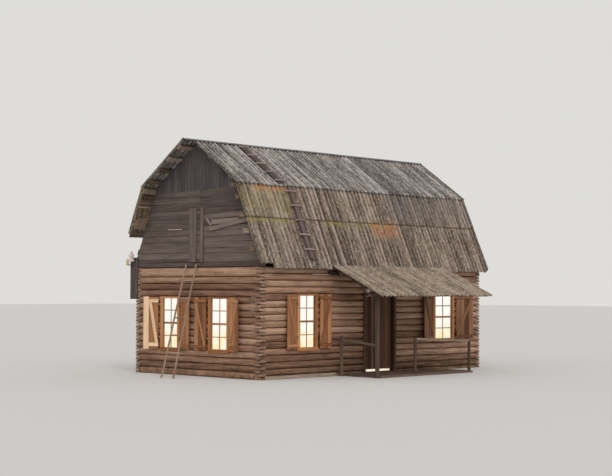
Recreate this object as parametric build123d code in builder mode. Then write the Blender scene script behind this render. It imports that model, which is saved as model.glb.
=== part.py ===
from build123d import *
import math
import os

# Log walls. X runs along the door wall, Y from the door wall to the back wall, Z up.
# The drawing starts at the near bottom corner of the outer log faces.
WALL_LENGTH = 8900.0
WALL_WIDTH = 4800.0
COURSE = 170.0
GABLE_COURSES = 16
LOG_WIDTH = 180.0
LOG_ROUND = 46.0
LOG_END = 150.0
FIT = 0.3

# Gambrel roof, as the line over the crests of the corrugated sheets
EAVE_OUT = 221.0
EAVE_HEIGHT = 2755.0
BREAK_IN = 769.0
BREAK_HEIGHT = 4968.0
RIDGE_HEIGHT = 6108.0
NEAR_VERGE = 170.0
WAVE_PITCH = 150.0
ROOF_WAVES = 62
WAVE_DEPTH = 46.0
SHEET = 7.0
SHEET_LAP = 140.0
LOWER_SHEET_LENGTH = 1560.0
BREAK_OVERHANG = 80.0
BREAK_TUCK = 36.0
RIDGE_GAP = 46.0
SHORT_SHEET_WAVES = 3.5
SHORT_SHEET_CUT = 125.0
RIDGE_CAP_WING = 190.0
RIDGE_CAP_SHEET = 5.0

# Roof timbers
BATTEN_HEIGHT = 32.0
BATTEN_WIDTH = 90.0
BATTEN_SPACING = 400.0
BATTEN_INSET = 25.0
RAFTER_DEPTH = 120.0
RAFTER_WIDTH = 80.0
RAFTER_PAIRS = 8
BEAM_HEIGHT = 125.0
BEAM_WIDTH = 120.0
BEAM_END = 60.0

# Boarded gables
BOARD = 25.0
PEAK_BASE_BELOW_BREAK = 318.0
COVER_BOARD_BELOW_BREAK = 638.0
COVER_BOARD_CENTRES = (2508.0, 2238.0)
COVER_BOARD_WIDTHS = (210.0, 130.0)
SLIPPED_BOARD_LENGTH = 980.0
SLIPPED_BOARD_WIDTH = 150.0
SLIPPED_BOARD_TILT = 12.0
SLIPPED_BOARD_Y = 1650.0
SLIPPED_BOARD_BELOW_BREAK = 1128.0

# Door with two leaves that open inwards
DOOR_CENTRE = 4467.0
DOOR_CLEAR = 1150.0
DOOR_FRAME = 60.0
DOOR_HEAD_COURSE = 12
DOOR_CASING = 90.0
DOOR_SILL = 50.0
DOOR_SLIT = 60.0
DOOR_LEAF = 40.0
DOOR_FRAME_DEPTH = 150.0
DOOR_GAP = 6.0
DOOR_MEETING_GAP = 10.0
DOOR_HINGE_PLATE = 90.0
KNUCKLE = 8.0
KNUCKLE_CLEAR = 2.0
KNUCKLE_HEIGHT = 40.0
HINGE_PLATE = 5.0
DOOR_HINGE_HEIGHTS = (320.0, 1800.0)
HANDLE_HEIGHT = 740.0
HANDLE_LENGTH = 150.0
HANDLE_BAR = 14.0
HANDLE_STAND = 45.0
HANDLE_INSET = 75.0

# Windows: glass opening as (low, high, bottom, top) along the wall
FRONT_WINDOWS = ((1385.0, 1935.0, 770.0, 2075.0), (6840.0, 7590.0, 880.0, 2075.0))
NEAR_WINDOWS = ((1210.0, 1800.0, 710.0, 1990.0), (3100.0, 3670.0, 710.0, 1990.0))
BACK_WINDOWS = ((4160.0, 4740.0, 770.0, 2075.0),)
WINDOW_FRAME = 50.0
WINDOW_FRAME_SET_BACK = 25.0
WINDOW_FRAME_DEPTH = 90.0
WINDOW_RAIL = 44.0
CASING = 22.0
CASING_REACH = 100.0
GLASS = 5.0

# Shutters, each hung on two lift-off hinges beside the casing
HINGE_REACH = 125.0
SHUTTER_BOARD = 24.0
SHUTTER_LEDGE = 20.0
SHUTTER_LEDGE_WIDTH = 75.0
SHUTTER_LEDGE_INSET = 60.0
SHUTTER_CLEAR = 6.0
SHUTTER_EDGE_GAP = 12.0
SHUTTER_MEETING_GAP = 6.0
SHUTTER_OVERLAP = 35.0
SHUTTER_HINGE_COURSES = (5, 10)
HINGE_LUG = 10.0

# Porch
PORCH_START_WAVE = 17
PORCH_WAVES = 31
PORCH_SLOPE = 24.5
PORCH_ROOF_LENGTH = 1860.0
PORCH_TOP_HEIGHT = 2870.0
PORCH_LAP_GAP = 9.0
PORCH_PURLIN = 85.0
PORCH_PURLIN_WIDTH = 60.0
PORCH_PURLINS = (260.0, 950.0, 1690.0)
PURLIN_INSET = 40.0
PORCH_RAFTER_DEPTH = 90.0
PORCH_RAFTER_WIDTH = 70.0
PORCH_RAFTERS = 5
PORCH_RAFTER_END = 1800.0
PORCH_BEAM = 100.0
PORCH_POST = 95.0
PORCH_POST_LINE = 1550.0
PORCH_LEDGER = 60.0
PORCH_LEDGER_HEIGHT = 90.0
PORCH_POST_X = 2600.0
DECK_DEPTH = 1620.0
DECK_END = 5720.0
DECK_HEIGHT = 55.0
RAIL_POST = 70.0
RAIL_POST_LINE = 330.0
RAIL_POST_HEIGHT = 960.0
FRONT_RAIL_POST = 4100.0
FRONT_RAIL_END = 5650.0
RAIL_FALL = 110.0
RAIL = 55.0
RAIL_THICKNESS = 40.0

# Ladders and small boards
LADDER_FOOT_OUT = 1100.0
LADDER_TOP_HEIGHT = 2870.0
LADDER_FEET = (2060.0, 2370.0)
LADDER_TOPS = (2360.0, 2790.0)
LADDER_POLE = 50.0
LADDER_AXIS_TOP = 20.0
LADDER_RUNG = 36.0
LADDER_RUNGS = (560.0, 990.0, 1430.0, 1880.0, 2320.0)
ROOF_LADDER_WIDTH = 290.0
ROOF_LADDER_BOARD = 25.0
ROOF_LADDER_CLEAT = 30.0
ROOF_LADDER_CLEAT_WIDTH = 45.0
ROOF_LADDER_SPACING = 400.0
LOWER_LADDER_CENTRE = 1700.0
LADDER_BELOW_BREAK = 95.0
LOWER_LADDER_LENGTH = 2080.0
UPPER_LADDER_CENTRE = 1480.0
UPPER_LADDER_LENGTH = 1750.0
BASE_PLANK = 28.0
BASE_PLANK_HEIGHT = 95.0
FLOOR = 50.0
LAMP_RADIUS = 55.0
LAMP_DEPTH = 60.0
LAMP_X = 3950.0
LAMP_HEIGHT = 2210.0
CORNER_BOARD = 25.0
CORNER_BOARD_WIDTH = 150.0
CORNER_BOARD_BOTTOM = 1940.0
CORNER_BOARD_TOP = 2950.0

# Worked out from the sizes above
MIDDLE = WALL_WIDTH / 2
ROOF_LENGTH = ROOF_WAVES * WAVE_PITCH
LOWER_RUN = EAVE_OUT + BREAK_IN
LOWER_ANGLE = math.atan2(BREAK_HEIGHT - EAVE_HEIGHT, LOWER_RUN)
UPPER_ANGLE = math.atan2(RIDGE_HEIGHT - BREAK_HEIGHT, MIDDLE - BREAK_IN)
LOWER_SLOPE = math.hypot(BREAK_HEIGHT - EAVE_HEIGHT, LOWER_RUN)
UPPER_SLOPE = math.hypot(RIDGE_HEIGHT - BREAK_HEIGHT, MIDDLE - BREAK_IN)
PORCH_ANGLE = math.radians(PORCH_SLOPE)
PORCH_WIDTH = PORCH_WAVES * WAVE_PITCH
LOWER_COURSE_DROP = SHEET + FIT
RAFTER_DROP = WAVE_DEPTH + SHEET + LOWER_COURSE_DROP + BATTEN_HEIGHT + 2 * FIT
GABLE_TOP = GABLE_COURSES * COURSE
PLATE_TOP = GABLE_TOP + COURSE / 2
BEAM_TOP = PLATE_TOP + BEAM_HEIGHT
PEAK_BASE = BREAK_HEIGHT - PEAK_BASE_BELOW_BREAK
COVER_BOARD_TOP = BREAK_HEIGHT - COVER_BOARD_BELOW_BREAK
SLIPPED_BOARD_CENTRE = (SLIPPED_BOARD_Y, BREAK_HEIGHT - SLIPPED_BOARD_BELOW_BREAK)
PORCH_TOP_Y = -EAVE_OUT + (PORCH_TOP_HEIGHT - EAVE_HEIGHT) / math.tan(LOWER_ANGLE) - PORCH_LAP_GAP
X_LOW = -LADDER_FOOT_OUT - LADDER_POLE / 2
X_HIGH = ROOF_LENGTH - NEAR_VERGE
Y_LOW = PORCH_TOP_Y - PORCH_ROOF_LENGTH * math.cos(PORCH_ANGLE)
Y_HIGH = WALL_WIDTH + EAVE_OUT
TO_ORIGIN = Location((-(X_LOW + X_HIGH) / 2, -(Y_LOW + Y_HIGH) / 2, 0))
MID_PLANE = Plane.XZ.offset(-MIDDLE)
EXTRUDE_SIGN = {"X": 1, "Y": -1}

LONG_COURSES = [(0.0, COURSE / 2 - FIT)]
LONG_COURSES += [((k - 0.5) * COURSE, (k + 0.5) * COURSE - FIT) for k in range(1, GABLE_COURSES + 1)]
CROSS_COURSES = [(k * COURSE, (k + 1) * COURSE - FIT) for k in range(GABLE_COURSES)]

os.makedirs("parts", exist_ok=True)


def hand_over(piece, name):
    """Moves a finished piece to the origin under the middle of the whole cabin and writes it."""
    placed = piece.moved(TO_ORIGIN)
    placed.label = name
    export_step(placed, f"parts/{name}.step")


def gathered(pieces):
    """Pieces of one node, which do not touch each other."""
    with BuildPart() as group:
        add(pieces)
    return group.part


def section_plane(axis, station):
    """A vertical plane across a run along X or Y, with the other run and Z as its own axes."""
    if axis == "X":
        return Plane.YZ.offset(station)
    return Plane.XZ.offset(-station)


def rectangle(low, high, bottom, top):
    """A rectangle in the current sketch between two stations and two heights."""
    Polygon((low, bottom), (high, bottom), (high, top), (low, top), align=None)


def log_section(face, inward, bottom, top):
    """One log: rounded off outside, hewn flat inside. The lowest half log lies on the ground."""
    foot = bottom + LOG_ROUND
    toe = face + inward * LOG_ROUND
    if bottom == 0.0 and top < COURSE - FIT:
        foot = bottom
        toe = face
    points = [(toe, bottom), (face + inward * LOG_WIDTH, bottom), (face + inward * LOG_WIDTH, top)]
    points += [(face + inward * LOG_ROUND, top), (face, top - LOG_ROUND)]
    if foot > bottom:
        points.append((face, foot))
    Polygon(*points, align=None)


def saddle_section(face, inward, top):
    """The upper half of a crossing log, grown by the fit, which the log above is notched over."""
    middle = top + FIT - COURSE / 2 - FIT / 2
    outer = face - inward * FIT
    inner = face + inward * (LOG_WIDTH + FIT)
    points = [(outer, middle), (inner, middle), (inner, top + FIT)]
    points += [(face + inward * LOG_ROUND, top + FIT), (outer, top - LOG_ROUND)]
    Polygon(*points, align=None)


def log_wall(axis, face, inward, start, end, courses, openings, crossings):
    """Stacked logs, cut at openings and notched over the crossing logs of the corners."""
    cross_axis = "Y" if axis == "X" else "X"
    side = min(face, face + inward * LOG_WIDTH) - FIT
    across = EXTRUDE_SIGN[cross_axis] * (LOG_WIDTH + 2 * FIT)
    with BuildPart() as wall:
        with BuildSketch(section_plane(axis, start)):
            for bottom, top in courses:
                log_section(face, inward, bottom, top)
        extrude(amount=EXTRUDE_SIGN[axis] * (end - start))
        if openings:
            with BuildSketch(section_plane(cross_axis, side)):
                for low, high, bottom, top in openings:
                    rectangle(low, high, bottom, top)
            extrude(amount=across, mode=Mode.SUBTRACT)
        for cross_face, cross_inward, cross_courses in crossings:
            with BuildSketch(section_plane(cross_axis, side)):
                for _, top in cross_courses:
                    saddle_section(cross_face, cross_inward, top)
            extrude(amount=across, mode=Mode.SUBTRACT)
    return wall.part


def rough(window):
    """The hole in the logs for a window: its glass opening and the frame round it."""
    low, high, bottom, top = window
    return (low - WINDOW_FRAME, high + WINDOW_FRAME, bottom - WINDOW_FRAME, top + WINDOW_FRAME)


# Log walls
NEAR_CROSSING = (0.0, 1, CROSS_COURSES)
FAR_CROSSING = (WALL_LENGTH, -1, CROSS_COURSES)
FRONT_CROSSING = (0.0, 1, LONG_COURSES)
BACK_CROSSING = (WALL_WIDTH, -1, LONG_COURSES)
DOOR_ROUGH_LOW = DOOR_CENTRE - DOOR_CLEAR / 2 - DOOR_FRAME
DOOR_ROUGH_HIGH = DOOR_CENTRE + DOOR_CLEAR / 2 + DOOR_FRAME
DOOR_HEAD = (DOOR_HEAD_COURSE + 0.5) * COURSE

hand_over(
    log_wall("X", 0.0, 1, -LOG_END, DOOR_ROUGH_LOW, LONG_COURSES[:DOOR_HEAD_COURSE + 1],
             [rough(FRONT_WINDOWS[0])], [NEAR_CROSSING]),
    "front_logs_left")
hand_over(
    log_wall("X", 0.0, 1, DOOR_ROUGH_HIGH, WALL_LENGTH + LOG_END, LONG_COURSES[:DOOR_HEAD_COURSE + 1],
             [rough(FRONT_WINDOWS[1])], [FAR_CROSSING]),
    "front_logs_right")
hand_over(
    log_wall("X", 0.0, 1, -LOG_END, WALL_LENGTH + LOG_END, LONG_COURSES[DOOR_HEAD_COURSE + 1:],
             [], [NEAR_CROSSING, FAR_CROSSING]),
    "front_logs_over_door")
hand_over(
    log_wall("X", WALL_WIDTH, -1, -LOG_END, WALL_LENGTH + LOG_END, LONG_COURSES,
             [rough(window) for window in BACK_WINDOWS], [NEAR_CROSSING, FAR_CROSSING]),
    "back_logs")
hand_over(
    log_wall("Y", 0.0, 1, -LOG_END, WALL_WIDTH + LOG_END, CROSS_COURSES,
             [rough(window) for window in NEAR_WINDOWS], [FRONT_CROSSING, BACK_CROSSING]),
    "near_gable_logs")
hand_over(
    log_wall("Y", WALL_LENGTH, -1, -LOG_END, WALL_WIDTH + LOG_END, CROSS_COURSES,
             [], [FRONT_CROSSING, BACK_CROSSING]),
    "far_gable_logs")

# Ground floor inside the log walls
with BuildPart() as ground_floor:
    with BuildSketch():
        inside = LOG_WIDTH + FIT
        rectangle(inside, WALL_LENGTH - inside, inside, WALL_WIDTH - inside)
    extrude(amount=FLOOR)
hand_over(ground_floor.part, "ground_floor")


def foot_y(height, drop):
    """How far in the lower slope lies at a height, for a line a drop below the sheet crests."""
    return BREAK_IN - (BREAK_HEIGHT - height) / math.tan(LOWER_ANGLE) + drop / math.sin(LOWER_ANGLE)


def break_point(drop):
    """Where both slopes meet, for lines a drop below the sheet crests."""
    inward = 1 / math.sin(LOWER_ANGLE) - 1 / (math.cos(UPPER_ANGLE) * math.tan(LOWER_ANGLE))
    run = drop * inward / (1 - math.tan(UPPER_ANGLE) / math.tan(LOWER_ANGLE))
    rise = run * math.tan(UPPER_ANGLE) - drop / math.cos(UPPER_ANGLE)
    return (BREAK_IN + run, BREAK_HEIGHT + rise)


def ridge_z(drop):
    """The ridge height for a line a drop below the sheet crests."""
    return RIDGE_HEIGHT - drop / math.cos(UPPER_ANGLE)


def upper_height_at(y, drop):
    """The height of the upper slope at a station."""
    return ridge_z(drop) - (MIDDLE - y) * math.tan(UPPER_ANGLE)


# Tie beams: one over each log gable, notched on the plates, and one under each pair of rafters
BEAM_STEP = (WALL_LENGTH - BEAM_WIDTH) / (RAFTER_PAIRS - 1)
with BuildPart() as tie_beams:
    with BuildSketch(section_plane("Y", -BEAM_END)):
        for pair in range(RAFTER_PAIRS):
            bottom = GABLE_TOP if pair in (0, RAFTER_PAIRS - 1) else PLATE_TOP
            rectangle(pair * BEAM_STEP, pair * BEAM_STEP + BEAM_WIDTH, bottom, BEAM_TOP)
    extrude(amount=EXTRUDE_SIGN["Y"] * (WALL_WIDTH + 2 * BEAM_END))
    with BuildSketch(section_plane("X", -LOG_END)):
        saddle_section(0.0, 1, PLATE_TOP - FIT)
        saddle_section(WALL_WIDTH, -1, PLATE_TOP - FIT)
    extrude(amount=WALL_LENGTH + 2 * LOG_END, mode=Mode.SUBTRACT)
hand_over(tie_beams.part, "tie_beams")


def lower_rafter_points():
    """A lower rafter from the tie beam to the mitre at the roof's break."""
    foot = BEAM_TOP + FIT
    deep = RAFTER_DROP + RAFTER_DEPTH
    outer = (foot_y(foot, RAFTER_DROP), foot)
    inner = (foot_y(foot, deep), foot)
    return [outer, inner, break_point(deep), break_point(RAFTER_DROP)]


def upper_rafter_points():
    """An upper rafter from the mitre to the plumb cut at the ridge."""
    deep = RAFTER_DROP + RAFTER_DEPTH
    low_inner = break_point(deep)
    low_outer = break_point(RAFTER_DROP)
    top = MIDDLE - FIT / 2
    shift = FIT
    return [(low_inner[0] + shift, low_inner[1] + shift * math.tan(UPPER_ANGLE)),
            (top, upper_height_at(top, deep)), (top, upper_height_at(top, RAFTER_DROP)),
            (low_outer[0] + shift, low_outer[1] + shift * math.tan(UPPER_ANGLE))]


# Rafters stand over the tie beams, the end pairs just behind the gable boards
with BuildPart() as rafters:
    for pair in range(RAFTER_PAIRS):
        near = pair * BEAM_STEP + (BEAM_WIDTH - RAFTER_WIDTH) / 2
        near = max(BOARD + FIT, min(near, WALL_LENGTH - BOARD - FIT - RAFTER_WIDTH))
        with BuildSketch(section_plane("X", near)):
            Polygon(*lower_rafter_points(), align=None)
            Polygon(*upper_rafter_points(), align=None)
        extrude(amount=RAFTER_WIDTH)
    mirror(about=MID_PLANE)
hand_over(rafters.part, "rafters")


def slope_plane(angle, top_y, top_z, drop, x):
    """A plane square to a front slope: its own axes are X and the outward normal."""
    down = (0, -math.cos(angle), -math.sin(angle))
    origin = (x, top_y + drop * math.sin(angle), top_z - drop * math.cos(angle))
    return Plane(origin=origin, x_dir=(1, 0, 0), z_dir=down)


def lower_plane(distance, drop, x=-NEAR_VERGE):
    """The plane across the lower slope at a distance below the break."""
    return slope_plane(LOWER_ANGLE, BREAK_IN - distance * math.cos(LOWER_ANGLE),
                       BREAK_HEIGHT - distance * math.sin(LOWER_ANGLE), drop, x)


def upper_plane(distance, drop, x=-NEAR_VERGE):
    """The plane across the upper slope at a distance below the ridge."""
    return slope_plane(UPPER_ANGLE, MIDDLE - distance * math.cos(UPPER_ANGLE),
                       RIDGE_HEIGHT - distance * math.sin(UPPER_ANGLE), drop, x)


def wave_points(waves):
    """A corrugated sheet's section, crest first, with its crests on the line."""
    top = []
    for half in range(2 * waves + 1):
        top.append((half * WAVE_PITCH / 2, -WAVE_DEPTH * (half % 2)))
    bottom = [(x, z - SHEET) for x, z in reversed(top)]
    return top + bottom


def sheet_course(plane, waves, length):
    """One course of corrugated sheets from its top edge down the slope."""
    with BuildPart() as course:
        with BuildSketch(plane):
            Polygon(*wave_points(waves), align=None)
        extrude(amount=length)
    return course.part


def both_slopes(front, back):
    """A front course together with the mirror image of the course for the back."""
    return gathered([front, mirror(back, about=MID_PLANE)])


# Three courses of corrugated sheets on each side of the ridge
upper_sheets = sheet_course(upper_plane(RIDGE_GAP, 0), ROOF_WAVES,
                            UPPER_SLOPE - RIDGE_GAP + BREAK_OVERHANG)
lower_start = LOWER_SLOPE - LOWER_SHEET_LENGTH
middle_sheets = sheet_course(lower_plane(BREAK_TUCK, 0), ROOF_WAVES,
                             lower_start + SHEET_LAP - BREAK_TUCK)
lower_sheets_whole = sheet_course(lower_plane(lower_start, LOWER_COURSE_DROP), ROOF_WAVES,
                                  LOWER_SHEET_LENGTH)
with BuildPart() as lower_sheets_front:
    add(lower_sheets_whole)
    with BuildSketch(lower_plane(LOWER_SLOPE - SHORT_SHEET_CUT, 0)):
        rectangle(-FIT, SHORT_SHEET_WAVES * WAVE_PITCH, -WAVE_DEPTH - 3 * SHEET, SHEET)
    extrude(amount=2 * SHORT_SHEET_CUT, mode=Mode.SUBTRACT)
hand_over(both_slopes(upper_sheets, upper_sheets), "upper_sheets")
hand_over(both_slopes(middle_sheets, middle_sheets), "middle_sheets")
hand_over(both_slopes(lower_sheets_front.part, lower_sheets_whole), "lower_sheets")

# Roof battens under the sheets, carried out to the verges
BATTEN_RUN = ROOF_LENGTH - 2 * BATTEN_INSET

BATTEN_X = -NEAR_VERGE + BATTEN_INSET
UNDER_SHEET = WAVE_DEPTH + SHEET + FIT
THIN_BATTEN = RAFTER_DROP - UNDER_SHEET - LOWER_COURSE_DROP - FIT
THICK_BATTEN = RAFTER_DROP - UNDER_SHEET - FIT
upper_battens = 1 + int((UPPER_SLOPE - 3 * BATTEN_WIDTH) / BATTEN_SPACING)
middle_battens = 1 + int((lower_start - BATTEN_WIDTH) / BATTEN_SPACING)
lower_battens = 1 + int((LOWER_SHEET_LENGTH - SHEET_LAP - 3 * BATTEN_WIDTH) / BATTEN_SPACING)
LOWER_FIRST_BATTEN = lower_start + SHEET_LAP + BATTEN_WIDTH / 2
batten_rows = [(upper_plane(1.5 * BATTEN_WIDTH + row * BATTEN_SPACING, UNDER_SHEET, BATTEN_X),
                THICK_BATTEN) for row in range(upper_battens)]
batten_rows += [(lower_plane(BATTEN_WIDTH + row * BATTEN_SPACING, UNDER_SHEET, BATTEN_X),
                 THICK_BATTEN) for row in range(middle_battens)]
batten_rows += [(lower_plane(LOWER_FIRST_BATTEN + row * BATTEN_SPACING,
                             UNDER_SHEET + LOWER_COURSE_DROP, BATTEN_X), THIN_BATTEN)
                for row in range(lower_battens)]
with BuildPart() as roof_battens:
    for plane, height in batten_rows:
        with BuildSketch(plane):
            rectangle(0, BATTEN_RUN, -height, 0)
        extrude(amount=BATTEN_WIDTH)
    mirror(about=MID_PLANE)
hand_over(roof_battens.part, "roof_battens")

# Ridge cap, a folded strip on the crests of both upper slopes
with BuildPart() as ridge_cap:
    wing_y = RIDGE_CAP_WING * math.cos(UPPER_ANGLE)
    wing_z = RIDGE_CAP_WING * math.sin(UPPER_ANGLE)
    seat = ridge_z(-FIT)
    crown = ridge_z(-FIT - RIDGE_CAP_SHEET)
    with BuildSketch(section_plane("X", -NEAR_VERGE)):
        Polygon((MIDDLE - wing_y, seat - wing_z), (MIDDLE, seat), (MIDDLE + wing_y, seat - wing_z),
                (MIDDLE + wing_y, crown - wing_z), (MIDDLE, crown), (MIDDLE - wing_y, crown - wing_z),
                align=None)
    extrude(amount=ROOF_LENGTH)
hand_over(ridge_cap.part, "ridge_cap")


# Boarded gables: horizontal boards on the end beam, upright boards in the peak
GABLE_DROP = RAFTER_DROP + FIT
gable_foot = BEAM_TOP + FIT
gable_head = PEAK_BASE - FIT
peak_corner = break_point(GABLE_DROP)
with BuildPart() as gable_boards:
    for x in (0, WALL_LENGTH - BOARD):
        with BuildSketch(section_plane("X", x)):
            Polygon((foot_y(gable_foot, GABLE_DROP), gable_foot),
                    (WALL_WIDTH - foot_y(gable_foot, GABLE_DROP), gable_foot),
                    (WALL_WIDTH - foot_y(gable_head, GABLE_DROP), gable_head),
                    (foot_y(gable_head, GABLE_DROP), gable_head), align=None)
        extrude(amount=BOARD)
hand_over(gable_boards.part, "gable_boards")
with BuildPart() as gable_peaks:
    for x in (0, WALL_LENGTH - BOARD):
        with BuildSketch(section_plane("X", x)):
            Polygon((foot_y(PEAK_BASE, GABLE_DROP), PEAK_BASE),
                    (WALL_WIDTH - foot_y(PEAK_BASE, GABLE_DROP), PEAK_BASE),
                    (WALL_WIDTH - peak_corner[0], peak_corner[1]),
                    (MIDDLE, upper_height_at(MIDDLE, GABLE_DROP)), peak_corner, align=None)
        extrude(amount=BOARD)
hand_over(gable_peaks.part, "gable_peaks")

# Two upright boards that cover the joints of the near gable's boards, and one that has slipped
with BuildPart() as cover_boards:
    with BuildSketch(section_plane("X", -BOARD - FIT)):
        for centre, width in zip(COVER_BOARD_CENTRES, COVER_BOARD_WIDTHS):
            rectangle(centre - width / 2, centre + width / 2, BEAM_TOP + FIT, COVER_BOARD_TOP)
        with Locations(SLIPPED_BOARD_CENTRE):
            Rectangle(SLIPPED_BOARD_LENGTH, SLIPPED_BOARD_WIDTH, rotation=-SLIPPED_BOARD_TILT)
    extrude(amount=BOARD)
hand_over(cover_boards.part, "gable_cover_boards")


def ring(axis, station, depth, outer, inner, bar=None):
    """A flat frame across a wall: outer and inner are (low, high, bottom, top)."""
    with BuildPart() as frame:
        with BuildSketch(section_plane(axis, station)):
            rectangle(*outer)
            Polygon((inner[0], inner[2]), (inner[1], inner[2]), (inner[1], inner[3]),
                    (inner[0], inner[3]), align=None, mode=Mode.SUBTRACT)
            if bar:
                rectangle(inner[0], inner[1], bar[0], bar[1])
        extrude(amount=EXTRUDE_SIGN[axis] * depth)
    return frame.part


def grown(window, side, bottom, top):
    """A window's rectangle with more on its sides, its bottom and its top."""
    return (window[0] - side, window[1] + side, window[2] - bottom, window[3] + top)


def window_frames(cross_axis, face, inward, windows):
    """The frames, meeting rails and casings of one wall's windows."""
    frame_far = face + inward * (WINDOW_FRAME_SET_BACK + WINDOW_FRAME_DEPTH)
    frame_station = min(face + inward * WINDOW_FRAME_SET_BACK, frame_far)
    casing_station = min(face - inward * FIT, face - inward * (FIT + CASING))
    frames = []
    for window in windows:
        middle = (window[2] + window[3]) / 2
        rail = (middle - WINDOW_RAIL / 2, middle + WINDOW_RAIL / 2)
        frame_outer = grown(window, WINDOW_FRAME - FIT, WINDOW_FRAME - FIT, WINDOW_FRAME - FIT)
        frames.append(ring(cross_axis, frame_station, WINDOW_FRAME_DEPTH, frame_outer, window, rail))
        casing_outer = grown(window, CASING_REACH, CASING_REACH, WINDOW_FRAME)
        frames.append(ring(cross_axis, casing_station, CASING, casing_outer, window))
    return frames


def window_glass(cross_axis, face, inward, windows):
    """One pane above and one below each meeting rail."""
    near = face + inward * (WINDOW_FRAME_SET_BACK + WINDOW_FRAME_DEPTH / 2)
    station = min(near, near + inward * GLASS)
    with BuildPart() as panes:
        with BuildSketch(section_plane(cross_axis, station)):
            for low, high, bottom, top in windows:
                middle = (bottom + top) / 2
                half_rail = WINDOW_RAIL / 2
                rectangle(low + FIT, high - FIT, bottom + FIT, middle - half_rail - FIT)
                rectangle(low + FIT, high - FIT, middle + half_rail + FIT, top - FIT)
        extrude(amount=EXTRUDE_SIGN[cross_axis] * GLASS)
    return panes.part


WINDOW_WALLS = (("Y", 0.0, 1, FRONT_WINDOWS), ("X", 0.0, 1, NEAR_WINDOWS),
                ("Y", WALL_WIDTH, -1, BACK_WINDOWS))
all_frames = [frame for wall in WINDOW_WALLS for frame in window_frames(*wall)]
hand_over(gathered(all_frames), "window_frames")
hand_over(gathered([window_glass(*wall) for wall in WINDOW_WALLS]), "window_glass")

# Shutters: name, axis of the wall's run, window, side it hangs on, rest angle from closed
SHUTTERS = (
    ("front_left_shutter_1", "X", FRONT_WINDOWS[0], -1, 176.0),
    ("front_right_shutter_1", "X", FRONT_WINDOWS[0], 1, 171.0),
    ("front_left_shutter_2", "X", FRONT_WINDOWS[1], -1, 171.0),
    ("front_right_shutter_2", "X", FRONT_WINDOWS[1], 1, 135.0),
    ("gable_right_shutter_1", "Y", NEAR_WINDOWS[0], -1, 169.0),
    ("gable_left_shutter_1", "Y", NEAR_WINDOWS[0], 1, 175.0),
    ("gable_right_shutter_2", "Y", NEAR_WINDOWS[1], -1, 176.0),
    ("gable_left_shutter_2", "Y", NEAR_WINDOWS[1], 1, 136.0),
)
SHUTTER_DEPTH = SHUTTER_BOARD + SHUTTER_LEDGE
SHUTTER_AXIS_OUT = CASING + FIT + SHUTTER_CLEAR + SHUTTER_DEPTH / 2


def shutter_seats(run_axis):
    """Hinge seats at the middle of two logs of the wall, where its face is flat."""
    shift = COURSE if run_axis == "X" else COURSE / 2
    return [course * COURSE + shift for course in SHUTTER_HINGE_COURSES]


def shutter_place(run_axis, window, side):
    """The hinge's plane, with X over the window, and the sense in which the leaf opens."""
    edge = window[0] - HINGE_REACH if side < 0 else window[1] + HINGE_REACH
    if run_axis == "X":
        return Plane(origin=(edge, -SHUTTER_AXIS_OUT, 0), x_dir=(-side, 0, 0), z_dir=(0, 0, 1)), side
    return Plane(origin=(-SHUTTER_AXIS_OUT, edge, 0), x_dir=(0, -side, 0), z_dir=(0, 0, 1)), -side


def shutter_leaf(run_axis, window, side, rest):
    """A plank leaf with two ledges and a diagonal brace, turned about its hinge to its rest angle."""
    bottom = window[2] - SHUTTER_OVERLAP
    top = window[3] + SHUTTER_OVERLAP
    reach = (window[1] - window[0]) / 2 + HINGE_REACH - SHUTTER_MEETING_GAP / 2
    wall_side = -SHUTTER_DEPTH / 2
    low_ledge = bottom + SHUTTER_LEDGE_INSET
    high_ledge = top - SHUTTER_LEDGE_INSET - SHUTTER_LEDGE_WIDTH
    slant = SHUTTER_LEDGE_WIDTH
    with BuildPart() as leaf:
        with BuildSketch(section_plane("Y", wall_side + SHUTTER_LEDGE)):
            rectangle(SHUTTER_EDGE_GAP, reach, bottom, top)
        extrude(amount=EXTRUDE_SIGN["Y"] * SHUTTER_BOARD)
        with BuildSketch(section_plane("Y", wall_side)):
            rectangle(SHUTTER_EDGE_GAP, reach, low_ledge, low_ledge + SHUTTER_LEDGE_WIDTH)
            rectangle(SHUTTER_EDGE_GAP, reach, high_ledge, high_ledge + SHUTTER_LEDGE_WIDTH)
            Polygon((SHUTTER_EDGE_GAP, low_ledge + slant), (SHUTTER_EDGE_GAP + slant, low_ledge + slant),
                    (reach, high_ledge), (reach - slant, high_ledge), align=None)
        extrude(amount=EXTRUDE_SIGN["Y"] * SHUTTER_LEDGE)
        for seat in shutter_seats(run_axis):
            with BuildSketch(section_plane("Y", -HINGE_LUG / 2)):
                rectangle(-HINGE_LUG / 2, 2 * SHUTTER_EDGE_GAP, seat, seat + KNUCKLE_HEIGHT)
            extrude(amount=EXTRUDE_SIGN["Y"] * HINGE_LUG)
    plane, sense = shutter_place(run_axis, window, side)
    piece = leaf.part if sense > 0 else mirror(leaf.part, about=Plane.XZ)
    return piece.rotate(Axis.Z, sense * rest).moved(plane.location)


def shutter_hinge_lugs(run_axis, window, side):
    """The wall's half of both hinges: a lug on a log with the lower knuckle."""
    plane, sense = shutter_place(run_axis, window, side)
    with BuildPart() as lugs:
        for seat in shutter_seats(run_axis):
            with BuildSketch(section_plane("Y", -SHUTTER_AXIS_OUT + FIT)):
                rectangle(-HINGE_LUG / 2, HINGE_LUG / 2, seat - KNUCKLE_HEIGHT - FIT, seat - FIT)
            extrude(amount=EXTRUDE_SIGN["Y"] * (SHUTTER_AXIS_OUT - FIT + HINGE_LUG / 2))
    piece = lugs.part if sense > 0 else mirror(lugs.part, about=Plane.XZ)
    return piece.moved(plane.location)


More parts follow.
